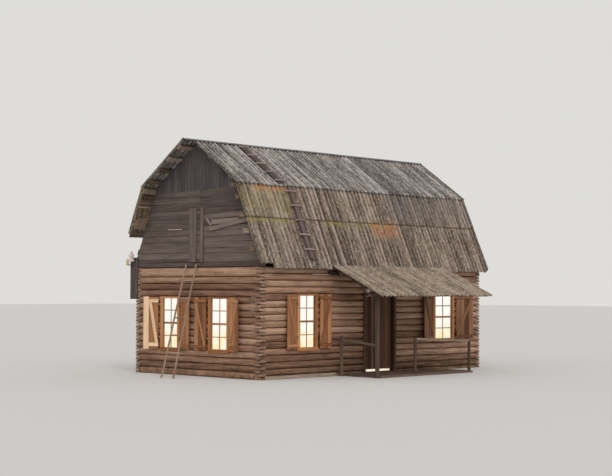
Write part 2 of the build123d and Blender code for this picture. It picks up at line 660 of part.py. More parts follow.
for name, run_axis, window, side, rest in SHUTTERS:
    hand_over(shutter_leaf(run_axis, window, side, rest), name)
all_lugs = [shutter_hinge_lugs(run_axis, window, side) for _, run_axis, window, side, _ in SHUTTERS]
hand_over(gathered(all_lugs), "shutter_hinges")

# Door frame with its sill, and the casing round it
DOOR_LOW = DOOR_CENTRE - DOOR_CLEAR / 2
DOOR_HIGH = DOOR_CENTRE + DOOR_CLEAR / 2
DOOR_TOP = DOOR_HEAD - DOOR_FRAME
DOOR_AXIS_Y = DOOR_FRAME_DEPTH + KNUCKLE + KNUCKLE_CLEAR
with BuildPart() as door_frame:
    with BuildSketch(section_plane("Y", 0)):
        rectangle(DOOR_ROUGH_LOW + FIT, DOOR_ROUGH_HIGH - FIT, 0, DOOR_HEAD - FIT)
        Polygon((DOOR_LOW, DOOR_SILL), (DOOR_HIGH, DOOR_SILL), (DOOR_HIGH, DOOR_TOP),
                (DOOR_LOW, DOOR_TOP), align=None, mode=Mode.SUBTRACT)
    extrude(amount=EXTRUDE_SIGN["Y"] * DOOR_FRAME_DEPTH)
    for seat in DOOR_HINGE_HEIGHTS:
        with BuildSketch(Plane.XY.offset(seat - KNUCKLE_HEIGHT - FIT)):
            for edge, outward in ((DOOR_LOW, -1), (DOOR_HIGH, 1)):
                with Locations((edge, DOOR_AXIS_Y)):
                    RegularPolygon(KNUCKLE, 6)
                with Locations((edge + outward * DOOR_FRAME / 4, DOOR_FRAME_DEPTH + HINGE_PLATE / 2)):
                    Rectangle(DOOR_FRAME / 2, HINGE_PLATE)
        extrude(amount=KNUCKLE_HEIGHT)
hand_over(door_frame.part, "door_frame")
with BuildPart() as door_casing:
    with BuildSketch(section_plane("Y", -FIT - CASING)):
        rectangle(DOOR_LOW - DOOR_CASING, DOOR_HIGH + DOOR_CASING, DECK_HEIGHT + FIT,
                  DOOR_TOP + DOOR_CASING)
        Polygon((DOOR_LOW, 0), (DOOR_HIGH, 0), (DOOR_HIGH, DOOR_TOP), (DOOR_LOW, DOOR_TOP),
                align=None, mode=Mode.SUBTRACT)
    extrude(amount=EXTRUDE_SIGN["Y"] * CASING)
hand_over(door_casing.part, "door_casing")


def door_leaf(side):
    """One door leaf with its half of the hinges, left for -1 and right for 1."""
    edge = DOOR_LOW if side < 0 else DOOR_HIGH
    hung = edge - side * DOOR_GAP
    meeting = DOOR_CENTRE + side * DOOR_MEETING_GAP / 2
    with BuildPart() as leaf:
        with BuildSketch(section_plane("Y", DOOR_FRAME_DEPTH - DOOR_LEAF)):
            rectangle(min(hung, meeting), max(hung, meeting), DOOR_SILL + DOOR_SLIT, DOOR_TOP - DOOR_GAP)
        extrude(amount=EXTRUDE_SIGN["Y"] * DOOR_LEAF)
        for seat in DOOR_HINGE_HEIGHTS:
            with BuildSketch(Plane.XY.offset(seat)):
                with Locations((edge, DOOR_AXIS_Y)):
                    RegularPolygon(KNUCKLE, 6)
                plate_x = edge - side * (DOOR_HINGE_PLATE / 2 + KNUCKLE_CLEAR)
                with Locations((plate_x, DOOR_FRAME_DEPTH + HINGE_PLATE / 2)):
                    Rectangle(DOOR_HINGE_PLATE, HINGE_PLATE)
            extrude(amount=KNUCKLE_HEIGHT)
    return leaf.part


hand_over(door_leaf(-1), "left_door_leaf")
hand_over(door_leaf(1), "right_door_leaf")

# Pull handle on the right leaf beside the meeting edge
with BuildPart() as door_handle:
    face = DOOR_FRAME_DEPTH - DOOR_LEAF - FIT
    low = HANDLE_HEIGHT - HANDLE_LENGTH / 2
    high = HANDLE_HEIGHT + HANDLE_LENGTH / 2
    with BuildSketch(section_plane("X", DOOR_CENTRE + HANDLE_INSET)):
        rectangle(face - HANDLE_STAND, face, low, high)
        Polygon((face - HANDLE_STAND + HANDLE_BAR, low + HANDLE_BAR), (face, low + HANDLE_BAR),
                (face, high - HANDLE_BAR), (face - HANDLE_STAND + HANDLE_BAR, high - HANDLE_BAR),
                align=None, mode=Mode.SUBTRACT)
    extrude(amount=HANDLE_BAR)
hand_over(door_handle.part, "door_handle")

# Round lamp over the door
with BuildPart() as door_lamp:
    with BuildSketch(section_plane("Y", -FIT)):
        with Locations((LAMP_X, LAMP_HEIGHT)):
            RegularPolygon(LAMP_RADIUS, 12)
    extrude(amount=LAMP_DEPTH)
hand_over(door_lamp.part, "door_lamp")


# Porch roof, a lean-to of corrugated sheets lapped over the eave of the main roof
def porch_plane(distance, drop, x):
    """The plane across the porch roof at a distance below its top edge."""
    return slope_plane(PORCH_ANGLE, PORCH_TOP_Y - distance * math.cos(PORCH_ANGLE),
                       PORCH_TOP_HEIGHT - distance * math.sin(PORCH_ANGLE), drop, x)


def porch_height(y, drop):
    """The height of a line a drop below the porch sheets' crests, at a station."""
    return PORCH_TOP_HEIGHT + (y - PORCH_TOP_Y) * math.tan(PORCH_ANGLE) - drop / math.cos(PORCH_ANGLE)


PORCH_NEAR = -NEAR_VERGE + PORCH_START_WAVE * WAVE_PITCH
hand_over(sheet_course(porch_plane(0, 0, PORCH_NEAR), PORCH_WAVES, PORCH_ROOF_LENGTH),
          "porch_roof")
with BuildPart() as porch_purlins:
    for distance in PORCH_PURLINS:
        with BuildSketch(porch_plane(distance, UNDER_SHEET, PORCH_NEAR)):
            rectangle(PURLIN_INSET, PORCH_WIDTH - PURLIN_INSET, -PORCH_PURLIN, 0)
        extrude(amount=PORCH_PURLIN_WIDTH)

RAFTER_TOP = UNDER_SHEET + PORCH_PURLIN + FIT
RAFTER_FOOT = RAFTER_TOP + PORCH_RAFTER_DEPTH
BEAM_OUTER = -PORCH_POST_LINE - PORCH_BEAM / 2
BEAM_UPPER = porch_height(BEAM_OUTER, RAFTER_FOOT) - FIT
rafter_first = PORCH_POST_X - PORCH_RAFTER_WIDTH / 2
rafter_step = (PORCH_NEAR + PORCH_WIDTH - 2 * PURLIN_INSET - rafter_first - PORCH_RAFTER_WIDTH)
rafter_step /= PORCH_RAFTERS - 1
with BuildPart() as porch_rafters:
    for number in range(PORCH_RAFTERS):
        with BuildSketch(section_plane("X", rafter_first + number * rafter_step)):
            Polygon((-FIT, porch_height(-FIT, RAFTER_TOP)), (-FIT, porch_height(-FIT, RAFTER_FOOT)),
                    (-PORCH_RAFTER_END, porch_height(-PORCH_RAFTER_END, RAFTER_FOOT)),
                    (-PORCH_RAFTER_END, porch_height(-PORCH_RAFTER_END, RAFTER_TOP)), align=None)
        extrude(amount=PORCH_RAFTER_WIDTH)
with BuildPart() as porch_beams:
    ledger_top = porch_height(-PORCH_LEDGER - FIT, RAFTER_FOOT) - FIT
    with BuildSketch(section_plane("X", PORCH_NEAR + PURLIN_INSET)):
        rectangle(-PORCH_LEDGER - FIT, -FIT, ledger_top - PORCH_LEDGER_HEIGHT, ledger_top)
        rectangle(BEAM_OUTER, BEAM_OUTER + PORCH_BEAM, BEAM_UPPER - PORCH_BEAM, BEAM_UPPER)
    extrude(amount=PORCH_WIDTH - 2 * PURLIN_INSET)
hand_over(gathered([porch_purlins.part, porch_rafters.part, porch_beams.part]), "porch_timbers")

# Porch post, rail posts and rails
with BuildPart() as porch_post:
    with BuildSketch():
        with Locations((PORCH_POST_X, -PORCH_POST_LINE)):
            Rectangle(PORCH_POST, PORCH_POST)
    extrude(amount=BEAM_UPPER - PORCH_BEAM - FIT)
hand_over(porch_post.part, "porch_post")
with BuildPart() as rail_posts:
    with BuildSketch():
        with Locations((PORCH_POST_X, -RAIL_POST_LINE)):
            Rectangle(RAIL_POST, RAIL_POST)
    extrude(amount=RAIL_POST_HEIGHT)
    with BuildSketch(Plane.XY.offset(DECK_HEIGHT + FIT)):
        with Locations((FRONT_RAIL_POST, -PORCH_POST_LINE), (FRONT_RAIL_END, -PORCH_POST_LINE)):
            Rectangle(RAIL_POST, RAIL_POST)
    extrude(amount=RAIL_POST_HEIGHT - DECK_HEIGHT - FIT)
with BuildPart() as porch_rails:
    with BuildSketch(section_plane("X", PORCH_POST_X - RAIL_THICKNESS / 2)):
        wall_end = -RAIL_POST_LINE - RAIL_POST / 2 - FIT
        post_end = -PORCH_POST_LINE + PORCH_POST / 2 + FIT
        Polygon((wall_end, RAIL_POST_HEIGHT - RAIL), (wall_end, RAIL_POST_HEIGHT),
                (post_end, RAIL_POST_HEIGHT - RAIL_FALL), (post_end, RAIL_POST_HEIGHT - RAIL_FALL - RAIL),
                align=None)
    extrude(amount=RAIL_THICKNESS)
    with BuildSketch(section_plane("Y", -PORCH_POST_LINE - RAIL_THICKNESS / 2)):
        rectangle(FRONT_RAIL_POST + RAIL_POST / 2 + FIT, FRONT_RAIL_END - RAIL_POST / 2 - FIT,
                  RAIL_POST_HEIGHT - RAIL, RAIL_POST_HEIGHT)
    extrude(amount=EXTRUDE_SIGN["Y"] * RAIL_THICKNESS)
hand_over(gathered([rail_posts.part, porch_rails.part]), "porch_railing")

# Low deck in front of the door
with BuildPart() as porch_deck:
    with BuildSketch():
        rectangle(PORCH_POST_X + PORCH_POST / 2 + FIT, DECK_END, -DECK_DEPTH, -FIT)
    extrude(amount=DECK_HEIGHT)
hand_over(porch_deck.part, "porch_deck")

# Plank on edge along the foot of the door wall
with BuildPart() as base_plank:
    with BuildSketch(section_plane("X", LOG_WIDTH + FIT)):
        rectangle(-BASE_PLANK - FIT, -FIT, 0, BASE_PLANK_HEIGHT)
    extrude(amount=PORCH_POST_X - PORCH_POST / 2 - LOG_WIDTH - 2 * FIT)
hand_over(base_plank.part, "base_plank")


def pole(start, end, size):
    """A square pole between two points, cut square to its own length."""
    run = Vector(*end) - Vector(*start)
    with BuildPart() as bar:
        with BuildSketch(Plane(origin=start, z_dir=run)):
            Rectangle(size, size)
        extrude(amount=run.length)
    return bar.part


def ladder_point(foot, top, height):
    """A point on a leaning pole's axis at a height."""
    share = height / LADDER_TOP_HEIGHT
    x = -LADDER_FOOT_OUT + share * (LADDER_FOOT_OUT - LADDER_AXIS_TOP)
    return (x, foot + share * (top - foot), height)


# Ladder that leans on the gable's end beam, cut level at the ground and plumb at the wall
with BuildPart() as leaning_ladder:
    for foot, top in zip(LADDER_FEET, LADDER_TOPS):
        add(pole(ladder_point(foot, top, -LADDER_POLE), ladder_point(foot, top, LADDER_TOP_HEIGHT),
                 LADDER_POLE))
    for height in LADDER_RUNGS:
        add(pole(ladder_point(LADDER_FEET[0], LADDER_TOPS[0], height),
                 ladder_point(LADDER_FEET[1], LADDER_TOPS[1], height), LADDER_RUNG))
    split(bisect_by=Plane.XY, keep=Keep.TOP)
    split(bisect_by=Plane.YZ.offset(-FIT), keep=Keep.BOTTOM)
hand_over(leaning_ladder.part, "leaning_ladder")


def roof_ladder(plane_at, centre, start, length):
    """A board with cleats across it, lying on the sheet crests."""
    with BuildPart() as ladder:
        with BuildSketch(plane_at(start, 0, centre)):
            rectangle(-ROOF_LADDER_WIDTH / 2, ROOF_LADDER_WIDTH / 2, FIT, FIT + ROOF_LADDER_BOARD)
        extrude(amount=length)
        cleat_foot = FIT + ROOF_LADDER_BOARD
        for number in range(int(length / ROOF_LADDER_SPACING)):
            distance = start + (number + 0.5) * ROOF_LADDER_SPACING
            with BuildSketch(plane_at(distance, 0, centre)):
                rectangle(-ROOF_LADDER_WIDTH / 2, ROOF_LADDER_WIDTH / 2, cleat_foot,
                          cleat_foot + ROOF_LADDER_CLEAT)
            extrude(amount=ROOF_LADDER_CLEAT_WIDTH)
    return ladder.part


lower_ladder = roof_ladder(lower_plane, LOWER_LADDER_CENTRE, LADDER_BELOW_BREAK, LOWER_LADDER_LENGTH)
upper_ladder = roof_ladder(upper_plane, UPPER_LADDER_CENTRE, RIDGE_CAP_WING + 2 * RIDGE_GAP,
                           UPPER_LADDER_LENGTH)
hand_over(gathered([lower_ladder, upper_ladder]), "roof_ladders")

# Upright board nailed to the log ends of the near left corner
with BuildPart() as corner_board:
    with BuildSketch(section_plane("X", -LOG_END - FIT - CORNER_BOARD)):
        rectangle(WALL_WIDTH - CORNER_BOARD_WIDTH, WALL_WIDTH, CORNER_BOARD_BOTTOM, CORNER_BOARD_TOP)
    extrude(amount=CORNER_BOARD)
hand_over(corner_board.part, "corner_board")
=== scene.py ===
import bpy
import bmesh
import math
import random
from mathutils import Matrix, Vector, noise


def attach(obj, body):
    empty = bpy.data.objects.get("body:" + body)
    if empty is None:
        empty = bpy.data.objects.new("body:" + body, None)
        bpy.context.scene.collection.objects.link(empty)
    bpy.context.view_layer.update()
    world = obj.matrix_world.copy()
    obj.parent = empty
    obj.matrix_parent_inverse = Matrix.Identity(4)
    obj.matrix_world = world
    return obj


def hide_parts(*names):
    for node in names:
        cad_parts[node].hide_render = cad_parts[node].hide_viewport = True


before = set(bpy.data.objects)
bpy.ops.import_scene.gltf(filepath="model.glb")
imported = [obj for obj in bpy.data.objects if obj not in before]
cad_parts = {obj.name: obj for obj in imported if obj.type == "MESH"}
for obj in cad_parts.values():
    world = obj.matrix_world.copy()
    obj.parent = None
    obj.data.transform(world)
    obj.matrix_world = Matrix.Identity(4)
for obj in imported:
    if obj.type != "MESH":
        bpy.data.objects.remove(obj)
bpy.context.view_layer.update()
RNG = random.Random(31)
CABIN = "cabin"

def at(x, y, z):
    return Vector((x, y, z))


def ripple(x, y, z):
    """Smooth noise, the same on each run."""
    return noise.noise(at(x, y, z))


# The cabin is drawn in metres from the near bottom corner of its outer log faces: X along the
# door wall, Y from the door wall to the back wall, Z up. ORIGIN moves that to the model's frame.
ORIGIN = at(4.0025, 1.57496, 0.0)
X, Y, Z = at(1, 0, 0), at(0, 1, 0), at(0, 0, 1)
WAYS = {"X": (X, Y), "Y": (Y, X)}      # along a wall and across it

WALL_LENGTH, WALL_WIDTH = 8.9, 4.8
COURSE, LOG_WIDTH, LOG_END = 0.17, 0.18, 0.012
EAVE_OUT, EAVE_HEIGHT = 0.221, 2.755
BREAK_IN, BREAK_HEIGHT, RIDGE_HEIGHT = 0.769, 4.968, 6.108
NEAR_VERGE, BACK_VERGE, ROOF_END = 0.17, 0.47, 9.13
WAVE, WAVE_DEPTH, ROOF_WAVES, BACK_WAVES = 0.15, 0.046, 62, 64
WAVE_SIDES, SHEET_WAVES, SHEET, LAP_DROP = 8, 7, 0.007, 0.0073
MIDDLE = WALL_WIDTH / 2
LOWER_ANGLE = math.atan2(BREAK_HEIGHT - EAVE_HEIGHT, EAVE_OUT + BREAK_IN)
UPPER_ANGLE = math.atan2(RIDGE_HEIGHT - BREAK_HEIGHT, MIDDLE - BREAK_IN)
LOWER_SLOPE = math.hypot(BREAK_HEIGHT - EAVE_HEIGHT, EAVE_OUT + BREAK_IN)
UPPER_SLOPE = math.hypot(RIDGE_HEIGHT - BREAK_HEIGHT, MIDDLE - BREAK_IN)
GAP, ROOF_DEPTH = 0.0003, 0.0932
GABLE_TOP = 16 * COURSE
BEAM_TOP = GABLE_TOP + COURSE / 2 + 0.125
FRONT_WINDOWS = ((1.385, 1.935, 0.77, 2.075), (6.84, 7.59, 0.88, 2.075))
NEAR_WINDOWS = ((1.21, 1.80, 0.71, 1.99), (3.10, 3.67, 0.71, 1.99))
BACK_WINDOWS = ((4.16, 4.74, 0.77, 2.075),)
WINDOW_FRAME = 0.05
DOOR_LOW, DOOR_HIGH, DOOR_HEAD = 3.892, 5.042, 2.125
DOOR_JAMB, DOOR_CENTRE = 0.06, (DOOR_LOW + DOOR_HIGH) / 2
HINGE_REACH, SHUTTER_AXIS_OUT = 0.125, 0.0503
PORCH_X, PORCH_WAVES, PORCH_SLOPE = 2.38, 31, math.radians(24.5)
PORCH_LENGTH, PORCH_TOP = 1.86, 2.87
PORCH_TOP_Y = -EAVE_OUT + (PORCH_TOP - EAVE_HEIGHT) / math.tan(LOWER_ANGLE) - 0.009


def added(name, data):
    """A new object in the scene."""
    made = bpy.data.objects.new(name, data)
    bpy.context.scene.collection.objects.link(made)
    return made


# Materials

def linear(rgb):
    """sRGB 0-255 to linear colour with alpha."""
    out = []
    for value in rgb:
        value /= 255
        out.append(value / 12.92 if value <= 0.04045 else ((value + 0.055) / 1.055) ** 2.4)
    return (*out, 1.0)


class Shader:
    """Nodes under construction, of a new material or a new world."""

    def __init__(self, name, owners=bpy.data.materials):
        self.owner = owners.new(name)
        self.owner.use_nodes = True
        self.tree = self.owner.node_tree
        self.bsdf = self.tree.nodes.get("Principled BSDF")

    def put(self, node, values):
        """Joins or sets inputs of a node, each by its name or number."""
        for key, value in values.items():
            if hasattr(value, "is_output"):
                self.tree.links.new(value, node.inputs[key])
            else:
                node.inputs[key].default_value = value

    def node(self, kind, values=None, **settings):
        """Adds a node and gives its outputs."""
        made = self.tree.nodes.new(kind)
        for key, value in settings.items():
            setattr(made, key, value)
        self.put(made, values or {})
        return made.outputs

    def attribute(self, name, vector=False):
        return self.node("ShaderNodeAttribute", attribute_name=name)["Vector" if vector else "Fac"]

    def place(self):
        return self.node("ShaderNodeTexCoord")["Object"]

    def stretch(self, vector, factors):
        return self.node("ShaderNodeVectorMath", {0: vector, 1: factors}, operation="MULTIPLY")["Vector"]

    def distance(self, vector, spot=(0.0, 0.0, 0.0)):
        return self.node("ShaderNodeVectorMath", {0: vector, 1: spot}, operation="DISTANCE")["Value"]

    def math(self, operation, a, b=0.0):
        return self.node("ShaderNodeMath", {0: a, 1: b}, operation=operation)[0]

    def times(self, a, b):
        return self.math("MULTIPLY", a, b)

    def plus(self, a, b):
        return self.math("ADD", a, b)

    def minus(self, a, b):
        return self.math("SUBTRACT", a, b)

    def noise(self, vector, scale, detail=4.0, rough=0.55, distortion=0.0):
        """Cloudy noise. A scale of three numbers stretches it along the axes."""
        if isinstance(scale, tuple):
            vector, scale = self.stretch(vector, scale), 1.0
        return self.node("ShaderNodeTexNoise", {"Vector": vector, "Scale": scale, "Detail": detail,
                                                "Roughness": rough, "Distortion": distortion})["Fac"]

    def step(self, value, low, high):
        """0 below low, 1 above high, smooth between."""
        return self.node("ShaderNodeMapRange", {"Value": value, "From Min": low, "From Max": high},
                         interpolation_type="SMOOTHSTEP")["Result"]

    def between(self, value, low, high, soft):
        """1 between low and high, 0 beyond, with soft edges."""
        rise = self.step(value, low - soft, low + soft)
        return self.times(rise, self.step(value, high + soft, high - soft))

    def ramp(self, value, stops):
        made = self.tree.nodes.new("ShaderNodeValToRGB")
        while len(made.color_ramp.elements) < len(stops):
            made.color_ramp.elements.new(0.5)
        for element, (position, rgb) in zip(made.color_ramp.elements, stops):
            element.position = position
            element.color = linear(rgb)
        self.put(made, {0: value})
        return made.outputs["Color"]

    def mix(self, factor, a, b):
        a, b = (linear(c) if isinstance(c, tuple) and max(c) > 1.0 else c for c in (a, b))
        return self.node("ShaderNodeMix", {"Factor": factor, 6: a, 7: b}, data_type="RGBA")[2]

    def split(self, vector):
        return self.node("ShaderNodeSeparateXYZ", {0: vector})

    def bump(self, height, strength, distance):
        relief = {"Strength": strength, "Distance": distance, "Height": height}
        self.put(self.bsdf, {"Normal": self.node("ShaderNodeBump", relief)["Normal"]})

    def finish(self, colour, roughness):
        self.put(self.bsdf, {"Base Color": colour, "Roughness": roughness, "Specular IOR Level": 0.25})
        return self.owner


def wood(name, dark, middle, light, cracks=0.6, moss=0.0, knots=0.0, upright=False, pale=None,
         spread=0.42):
    """Weathered wood. The grain runs along the first grain coordinate, or straight up."""
    s = Shader(name)
    if upright:
        x, y, z = s.split(s.place())
        place = s.node("ShaderNodeCombineXYZ", {0: z, 1: x, 2: y})[0]
        tone = s.noise(place, 0.9, 1.0)
    else:
        place = s.attribute("grain", vector=True)
        tone = s.attribute("tone")
    fine = s.noise(place, (2.2, 70.0, 70.0), 5.0, 0.62)
    broad = s.noise(place, (0.9, 14.0, 14.0), 3.0, 0.5, 0.4)
    value = s.plus(s.times(fine, 0.5), s.times(broad, 0.5))
    value = s.plus(value, s.times(s.minus(tone, 0.5), spread))
    colour = s.ramp(value, ((0.28, dark), (0.5, middle), (0.74, light)))
    if pale:
        peel = s.noise(place, (3.2, 11.0, 11.0), 6.0, 0.7)
        peel = s.times(s.step(peel, 0.57, 0.68), s.step(tone, 0.35, 0.9))
        colour = s.mix(peel, colour, pale)
    if knots:
        cells = {"Vector": s.stretch(place, (2.1, 7.0, 7.0)), "Scale": 1.0}
        away = s.node("ShaderNodeTexVoronoi", cells, feature="F1")["Distance"]
        spot = s.times(s.step(away, 0.17, 0.07), knots)
        colour = s.mix(spot, colour, dark)
    lines = s.noise(place, (0.7, 46.0, 46.0), 2.0, 0.5, 0.2)
    lines = s.math("ABSOLUTE", s.minus(lines, 0.5))
    crack = s.times(s.step(lines, 0.022, 0.004), s.step(s.noise(place, 2.3, 2.0), 0.45, 0.62))
    crack = s.times(crack, cracks)
    colour = s.mix(crack, colour, tuple(v * 0.35 for v in dark))
    # Painted shade: the colour darkens where the edge value is high, in the grooves between logs and along
    # the edges of boards and timbers.
    if not upright:
        painted_groove_shade = s.times(s.math("POWER", s.attribute("edge"), 2.0), 0.85)
        colour = s.mix(painted_groove_shade, colour, tuple(v * 0.42 for v in dark))
    if moss:
        patches = s.step(s.noise(s.place(), 5.0, 5.0, 0.7), 0.44, 0.62)
        low = s.times(s.step(s.split(s.place())[2], 0.75, 0.0), patches)
        colour = s.mix(s.times(low, moss), colour, (62, 62, 38))
    relief = s.plus(fine, s.times(broad, 1.5))
    s.bump(s.minus(relief, s.times(crack, 2.0)), 0.55, 0.004)
    return s.finish(colour, s.step(fine, -0.9, 0.9))


def end_grain(name, dark, light):
    """A sawn log end with rings round the heart and checks across them."""
    s = Shader(name)
    away = s.distance(s.stretch(s.attribute("grain", vector=True), (0.0, 1.0, 1.0)))
    wobble = s.times(s.noise(s.place(), 9.0, 3.0), 0.02)
    rings = s.math("SINE", s.times(s.plus(away, wobble), 520.0))
    value = s.plus(s.times(rings, 0.16), s.noise(s.place(), 14.0, 5.0, 0.7))
    colour = s.ramp(value, ((0.3, dark), (0.75, light)))
    s.bump(value, 0.4, 0.003)
    return s.finish(colour, 0.9)


LAP_HEIGHT = BREAK_HEIGHT - 1.0044 * math.sin(LOWER_ANGLE)
ORANGE, YELLOW, GREY = (190, 122, 70), (148, 133, 78), (112, 108, 106)
# Lichen on the lower slope: colour, run along X, heights, softness of its edge, how much it covers
LICHEN = ((YELLOW, (-0.5, 1.7), (4.15, 4.95), 0.25, 0.42),
          (ORANGE, (0.45, 1.65), (4.76, 4.95), 0.08, 0.75),
          (YELLOW, (-0.2, 1.8), (3.90, 4.05), 0.05, 0.70),
          (YELLOW, (2.6, 5.4), (3.90, 4.05), 0.05, 0.70),
          (YELLOW, (5.9, 9.4), (3.96, 4.05), 0.05, 0.35),
          (ORANGE, (4.50, 5.60), (3.66, 4.05), 0.14, 0.60),
          (GREY, (5.4, 9.9), (4.12, 5.00), 0.5, 0.55))


def sheet_material(name, dark, middle, light, lichen=()):
    """Old fibre cement: darker troughs and lighter crests, streaks down the slope, lichen, and a painted
    shadow band under the lap on the lower slope.
    """
    s = Shader(name)
    place = s.attribute("grain", vector=True)
    tone = s.attribute("tone")
    crest = s.attribute("edge")
    broad = s.noise(place, (0.9, 7.0, 0.0), 3.0, 0.6)
    wave = s.math("FLOOR", s.times(s.split(place)[1], 1 / WAVE))
    wave = s.node("ShaderNodeTexWhiteNoise", {"W": wave}, noise_dimensions="1D")["Value"]
    streak = s.noise(place, (1.8, 30.0, 0.0), 6.0, 0.7)
    blotch = s.noise(place, (9.0, 22.0, 0.0), 6.0, 0.75)
    value = 0.5
    for layer, share in ((broad, 0.8), (streak, 1.0), (blotch, 1.4), (crest, 0.26), (tone, 0.16),
                         (wave, 0.24)):
        value = s.plus(value, s.times(s.minus(layer, 0.5), share))
    colour = s.ramp(value, ((0.24, dark), (0.5, middle), (0.78, light)))
    for scale, limit, cover, tint in ((27.0, 0.56, 0.55, (192, 183, 171)),
                                      (21.0, 0.58, 0.5, (58, 52, 47))):
        spots = s.step(s.noise(s.place(), scale, 3.0, 0.7), limit, limit + 0.1)
        colour = s.mix(s.times(spots, cover), colour, tint)
    x, _, high = s.split(s.place())
    along = s.plus(x, ORIGIN.x)
    grit = s.times(s.noise(s.place(), 7.0, 5.0, 0.65), 0.55)
    grit = s.plus(grit, s.times(s.noise(s.place(), 34.0, 4.0, 0.75), 0.45))
    for tint, run, heights, soft, cover in lichen:
        here = s.times(s.between(along, *run, soft), s.between(high, *heights, soft))
        here = s.times(s.times(here, s.step(grit, 0.42, 0.55)), cover)
        colour = s.mix(here, colour, tint)
    # Painted shadow: a dark band just below the lower edge of the middle sheets, where they lap over the
    # lower ones; only the lower slope's material has it.
    if lichen:
        shade = s.times(s.between(high, LAP_HEIGHT - 0.035, LAP_HEIGHT, 0.012), 0.6)
        colour = s.mix(shade, colour, (34, 29, 25))
    s.bump(s.plus(streak, blotch), 0.5, 0.003)
    return s.finish(colour, 0.93)


def plain(name, dark, light, roughness, metallic=0.0):
    """Metal, enamel or glaze with fine wear."""
    s = Shader(name)
    value = s.noise(s.place(), 25.0, 5.0, 0.65)
    colour = s.ramp(value, ((0.35, dark), (0.65, light)))
    s.put(s.bsdf, {"Metallic": metallic})
    s.bump(value, 0.25, 0.001)
    return s.finish(colour, roughness)


def lit_glass(name):
    """Window glass with warm room light behind it."""
    s = Shader(name)
    cloud = s.noise(s.place(), 5.5, 4.0, 0.6, 0.6)
    value = s.times(s.step(s.split(s.place())[2], 0.7, 1.9), 0.35)
    value = s.plus(value, s.times(cloud, 0.75))
    glow = s.ramp(value, ((0.25, (255, 226, 160)), (0.42, (255, 244, 214)), (0.6, (253, 251, 244))))
    s.put(s.bsdf, {"Emission Color": glow, "Emission Strength": 0.97, "IOR": 1.5})
    return s.finish((0.05, 0.04, 0.03, 1.0), 0.08)


def floor_material(name):
    """Inside floor boards, lit warmly behind the door."""
    s = Shader(name)
    place = s.place()
    board = s.math("FRACT", s.times(s.split(place)[1], 1 / 0.14))
    seam = s.math("LESS_THAN", board, 0.05)
    streak = s.noise(place, (2.0, 40.0, 2.0), 4.0)
    colour = s.ramp(streak, ((0.3, (92, 62, 38)), (0.7, (150, 108, 70))))
    colour = s.mix(s.times(seam, 0.8), colour, (38, 26, 18))
    away = s.distance(place, (DOOR_CENTRE - ORIGIN.x, 0.6 - ORIGIN.y, 0.05))
    glow = s.mix(s.step(away, 2.2, 0.4), (0.0, 0.0, 0.0, 1.0), (255, 245, 218))
    s.put(s.bsdf, {"Emission Color": glow, "Emission Strength": 1.0})
    return s.finish(colour, 0.7)


LOGS = wood("weathered_log", (98, 71, 56), (156, 118, 94), (200, 164, 138), moss=0.5, knots=0.5,
            pale=(190, 172, 160), spread=0.32)
LOG_CAPS = end_grain("log_end", (100, 76, 62), (168, 138, 116))
BOARDS = wood("grey_board", (71, 61, 57), (102, 89, 83), (132, 117, 109), cracks=0.5, spread=0.24)
SLIPPED = wood("slipped_board", (78, 68, 63), (112, 98, 91), (140, 126, 116), cracks=0.4)
PEAK = wood("peak_board", (65, 58, 60), (86, 77, 79), (106, 97, 98), cracks=0.8, spread=0.16)
DARK_WOOD = (52, 41, 35), (80, 64, 55), (106, 88, 76)
TIMBER = wood("dark_timber", *DARK_WOOD)
RAFTER = wood("rafter_timber", *DARK_WOOD, upright=True)
BATTEN = wood("pale_batten", (92, 76, 62), (136, 116, 98), (172, 152, 134))
RAIL = wood("worn_rail", (70, 55, 45), (101, 81, 68), (132, 110, 94))
LATH = wood("pale_lath", (160, 140, 120), (190, 170, 150), (214, 196, 178), cracks=0.2)
# Window joinery: a brown stain made lighter and more orange by painted glow from the lit windows; the door
# trim keeps the darker brown.
GLOW_TINTED_JOINERY = wood("window_glow_joinery", (128, 82, 50), (182, 124, 80), (212, 156, 110), cracks=0.3)
# Shutter wood made lighter and more orange than the brown shutter wood: painted glow of the lit windows.
# The shutters of the second door-wall window keep the brown.
WINDOW_GLOW_SHUTTER = wood("window_glow_shutter", (120, 78, 50), (166, 113, 76), (198, 146, 106), cracks=0.5)
SHUTTER = wood("brown_shutter", (96, 66, 46), (136, 96, 70), (166, 124, 94), cracks=0.5)
# Painted light: the pale cream stands in for the lit window's light falling on the ledges and stile of one
# swung-out shutter.
WINDOW_LIT_BATTEN = wood("window_lit_batten", (186, 150, 114), (232, 196, 156), (250, 222, 184), cracks=0.3)
DOOR = wood("door_board", (62, 43, 33), (98, 69, 53), (130, 94, 72), cracks=0.6)
DOOR_TRIM = wood("door_trim", (68, 48, 37), (104, 75, 57), (134, 100, 77), cracks=0.4)
LADDER = wood("ladder_pole", (98, 78, 62), (146, 120, 98), (184, 160, 138))
STEPS = wood("roof_ladder_board", (70, 58, 56), (110, 92, 88), (146, 128, 122))
CLEATS = wood("roof_ladder_cleat", (110, 94, 90), (150, 130, 124), (176, 158, 150))
UPPER_SHEET = sheet_material("upper_sheet", (70, 64, 60), (122, 115, 110), (184, 176, 170))
LOWER_SHEET = sheet_material("lower_sheet", (70, 60, 50), (123, 108, 94), (178, 161, 144), LICHEN)
PORCH_SHEET = sheet_material("porch_sheet", (82, 70, 56), (132, 115, 98), (176, 158, 140))
RIDGE = plain("ridge_metal", (96, 88, 92), (130, 122, 126), 0.6)
IRON = plain("iron", (34, 31, 30), (70, 62, 57), 0.6, metallic=0.6)
GLAZE = plain("lamp_glaze", (214, 208, 198), (236, 232, 224), 0.25)
PORCELAIN = plain("pink_porcelain", (206, 184, 180), (236, 222, 218), 0.3)
YELLOW_GLAZE = plain("yellow_porcelain", (186, 170, 110), (214, 200, 146), 0.3)
GLASS = lit_glass("lit_glass")
FLOOR = floor_material("floor_boards")


# Meshes

